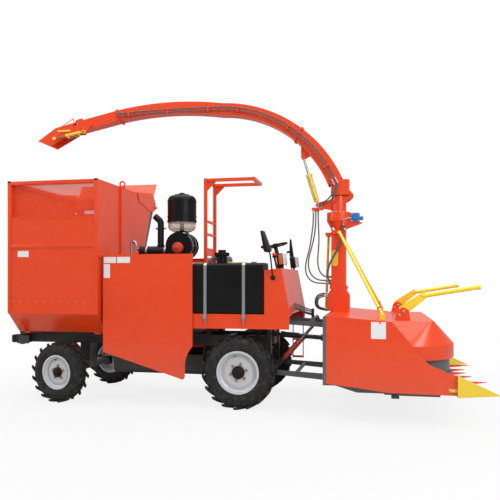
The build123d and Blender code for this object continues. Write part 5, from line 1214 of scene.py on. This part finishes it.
class HARVESTER_OT_stage(bpy.types.Operator):
    """Set the floor, the light and the camera"""
    bl_idname = "harvester.stage"
    bl_label = "Stage"

    def execute(self, context):
        scene = context.scene
        scene.view_settings.view_transform = "Standard"
        floor = fresh(bpy.ops.mesh.primitive_circle_add, vertices=96, radius=FLOOR_RADIUS, fill_type="NGON")
        floor.name = "floor"
        floor.data.materials.append(pale_floor())
        world = bpy.data.worlds.new("soft_sky")
        world.use_nodes = True
        tree = world.node_tree
        tree.nodes.clear()
        strength = add(tree, "MapRange", {"Value": seen_directly(tree), "To Min": SKY_LIGHT, "To Max": 1.0})
        sky = add(tree, "Background", {"Color": WHITE, "Strength": strength.outputs["Result"]})
        add(tree, "OutputWorld", {"Surface": sky.outputs[0]})
        scene.world = world
        for name, spot, aim, side, watts in LAMPS:
            light = bpy.data.lights.new(name, "AREA")
            light.shape = "SQUARE"
            light.size = side
            light.energy = watts
            lamp = bpy.data.objects.new(name, light)
            context.collection.objects.link(lamp)
            lamp.location = spot
            lamp.rotation_euler = (Vector(aim) - Vector(spot)).to_track_quat("-Z", "Y").to_euler()
        lens = bpy.data.cameras.new("photo_camera")
        lens.sensor_width = SENSOR_WIDTH
        lens.lens = FOCAL_LENGTH
        lens.shift_y = CAMERA_SHIFT
        camera = bpy.data.objects.new("photo_camera", lens)
        context.collection.objects.link(camera)
        camera.location = place(*CAMERA_PLACE)
        camera.rotation_euler = [math.radians(angle) for angle in CAMERA_TURN]
        scene.camera = camera
        return {"FINISHED"}


class HARVESTER_PT_panel(bpy.types.Panel):
    """Lists the harvester's operators and its main values"""
    bl_label = "Harvester"
    bl_idname = "HARVESTER_PT_panel"
    bl_space_type = "VIEW_3D"
    bl_region_type = "UI"
    bl_category = "Harvester"

    def draw(self, context):
        for operator in OPERATORS:
            self.layout.operator(operator.bl_idname)
        for group in (context.scene.harvester_paint, context.scene.harvester_sizes):
            for key in group.__annotations__:
                self.layout.prop(group, key)


OPERATORS = (HARVESTER_OT_stage, HARVESTER_OT_hoses, HARVESTER_OT_paint, HARVESTER_OT_wheels,
             HARVESTER_OT_bin, HARVESTER_OT_panels, HARVESTER_OT_intake, HARVESTER_OT_tank,
             HARVESTER_OT_operator_place, HARVESTER_OT_mirrors, HARVESTER_OT_header, HARVESTER_OT_mast,
             HARVESTER_OT_boom, HARVESTER_OT_cylinders, HARVESTER_OT_chassis)
CLASSES = (HarvesterPaint, HarvesterSizes, *OPERATORS, HARVESTER_PT_panel)


def register():
    for item in CLASSES:
        bpy.utils.register_class(item)
    bpy.types.Scene.harvester_paint = bpy.props.PointerProperty(type=HarvesterPaint)
    bpy.types.Scene.harvester_sizes = bpy.props.PointerProperty(type=HarvesterSizes)


def unregister():
    del bpy.types.Scene.harvester_sizes
    del bpy.types.Scene.harvester_paint
    for item in reversed(CLASSES):
        bpy.utils.unregister_class(item)


def main():
    register()
    for operator in OPERATORS:
        group, name = operator.bl_idname.split(".")
        getattr(getattr(bpy.ops, group), name)()


if __name__ == "__main__":
    main()
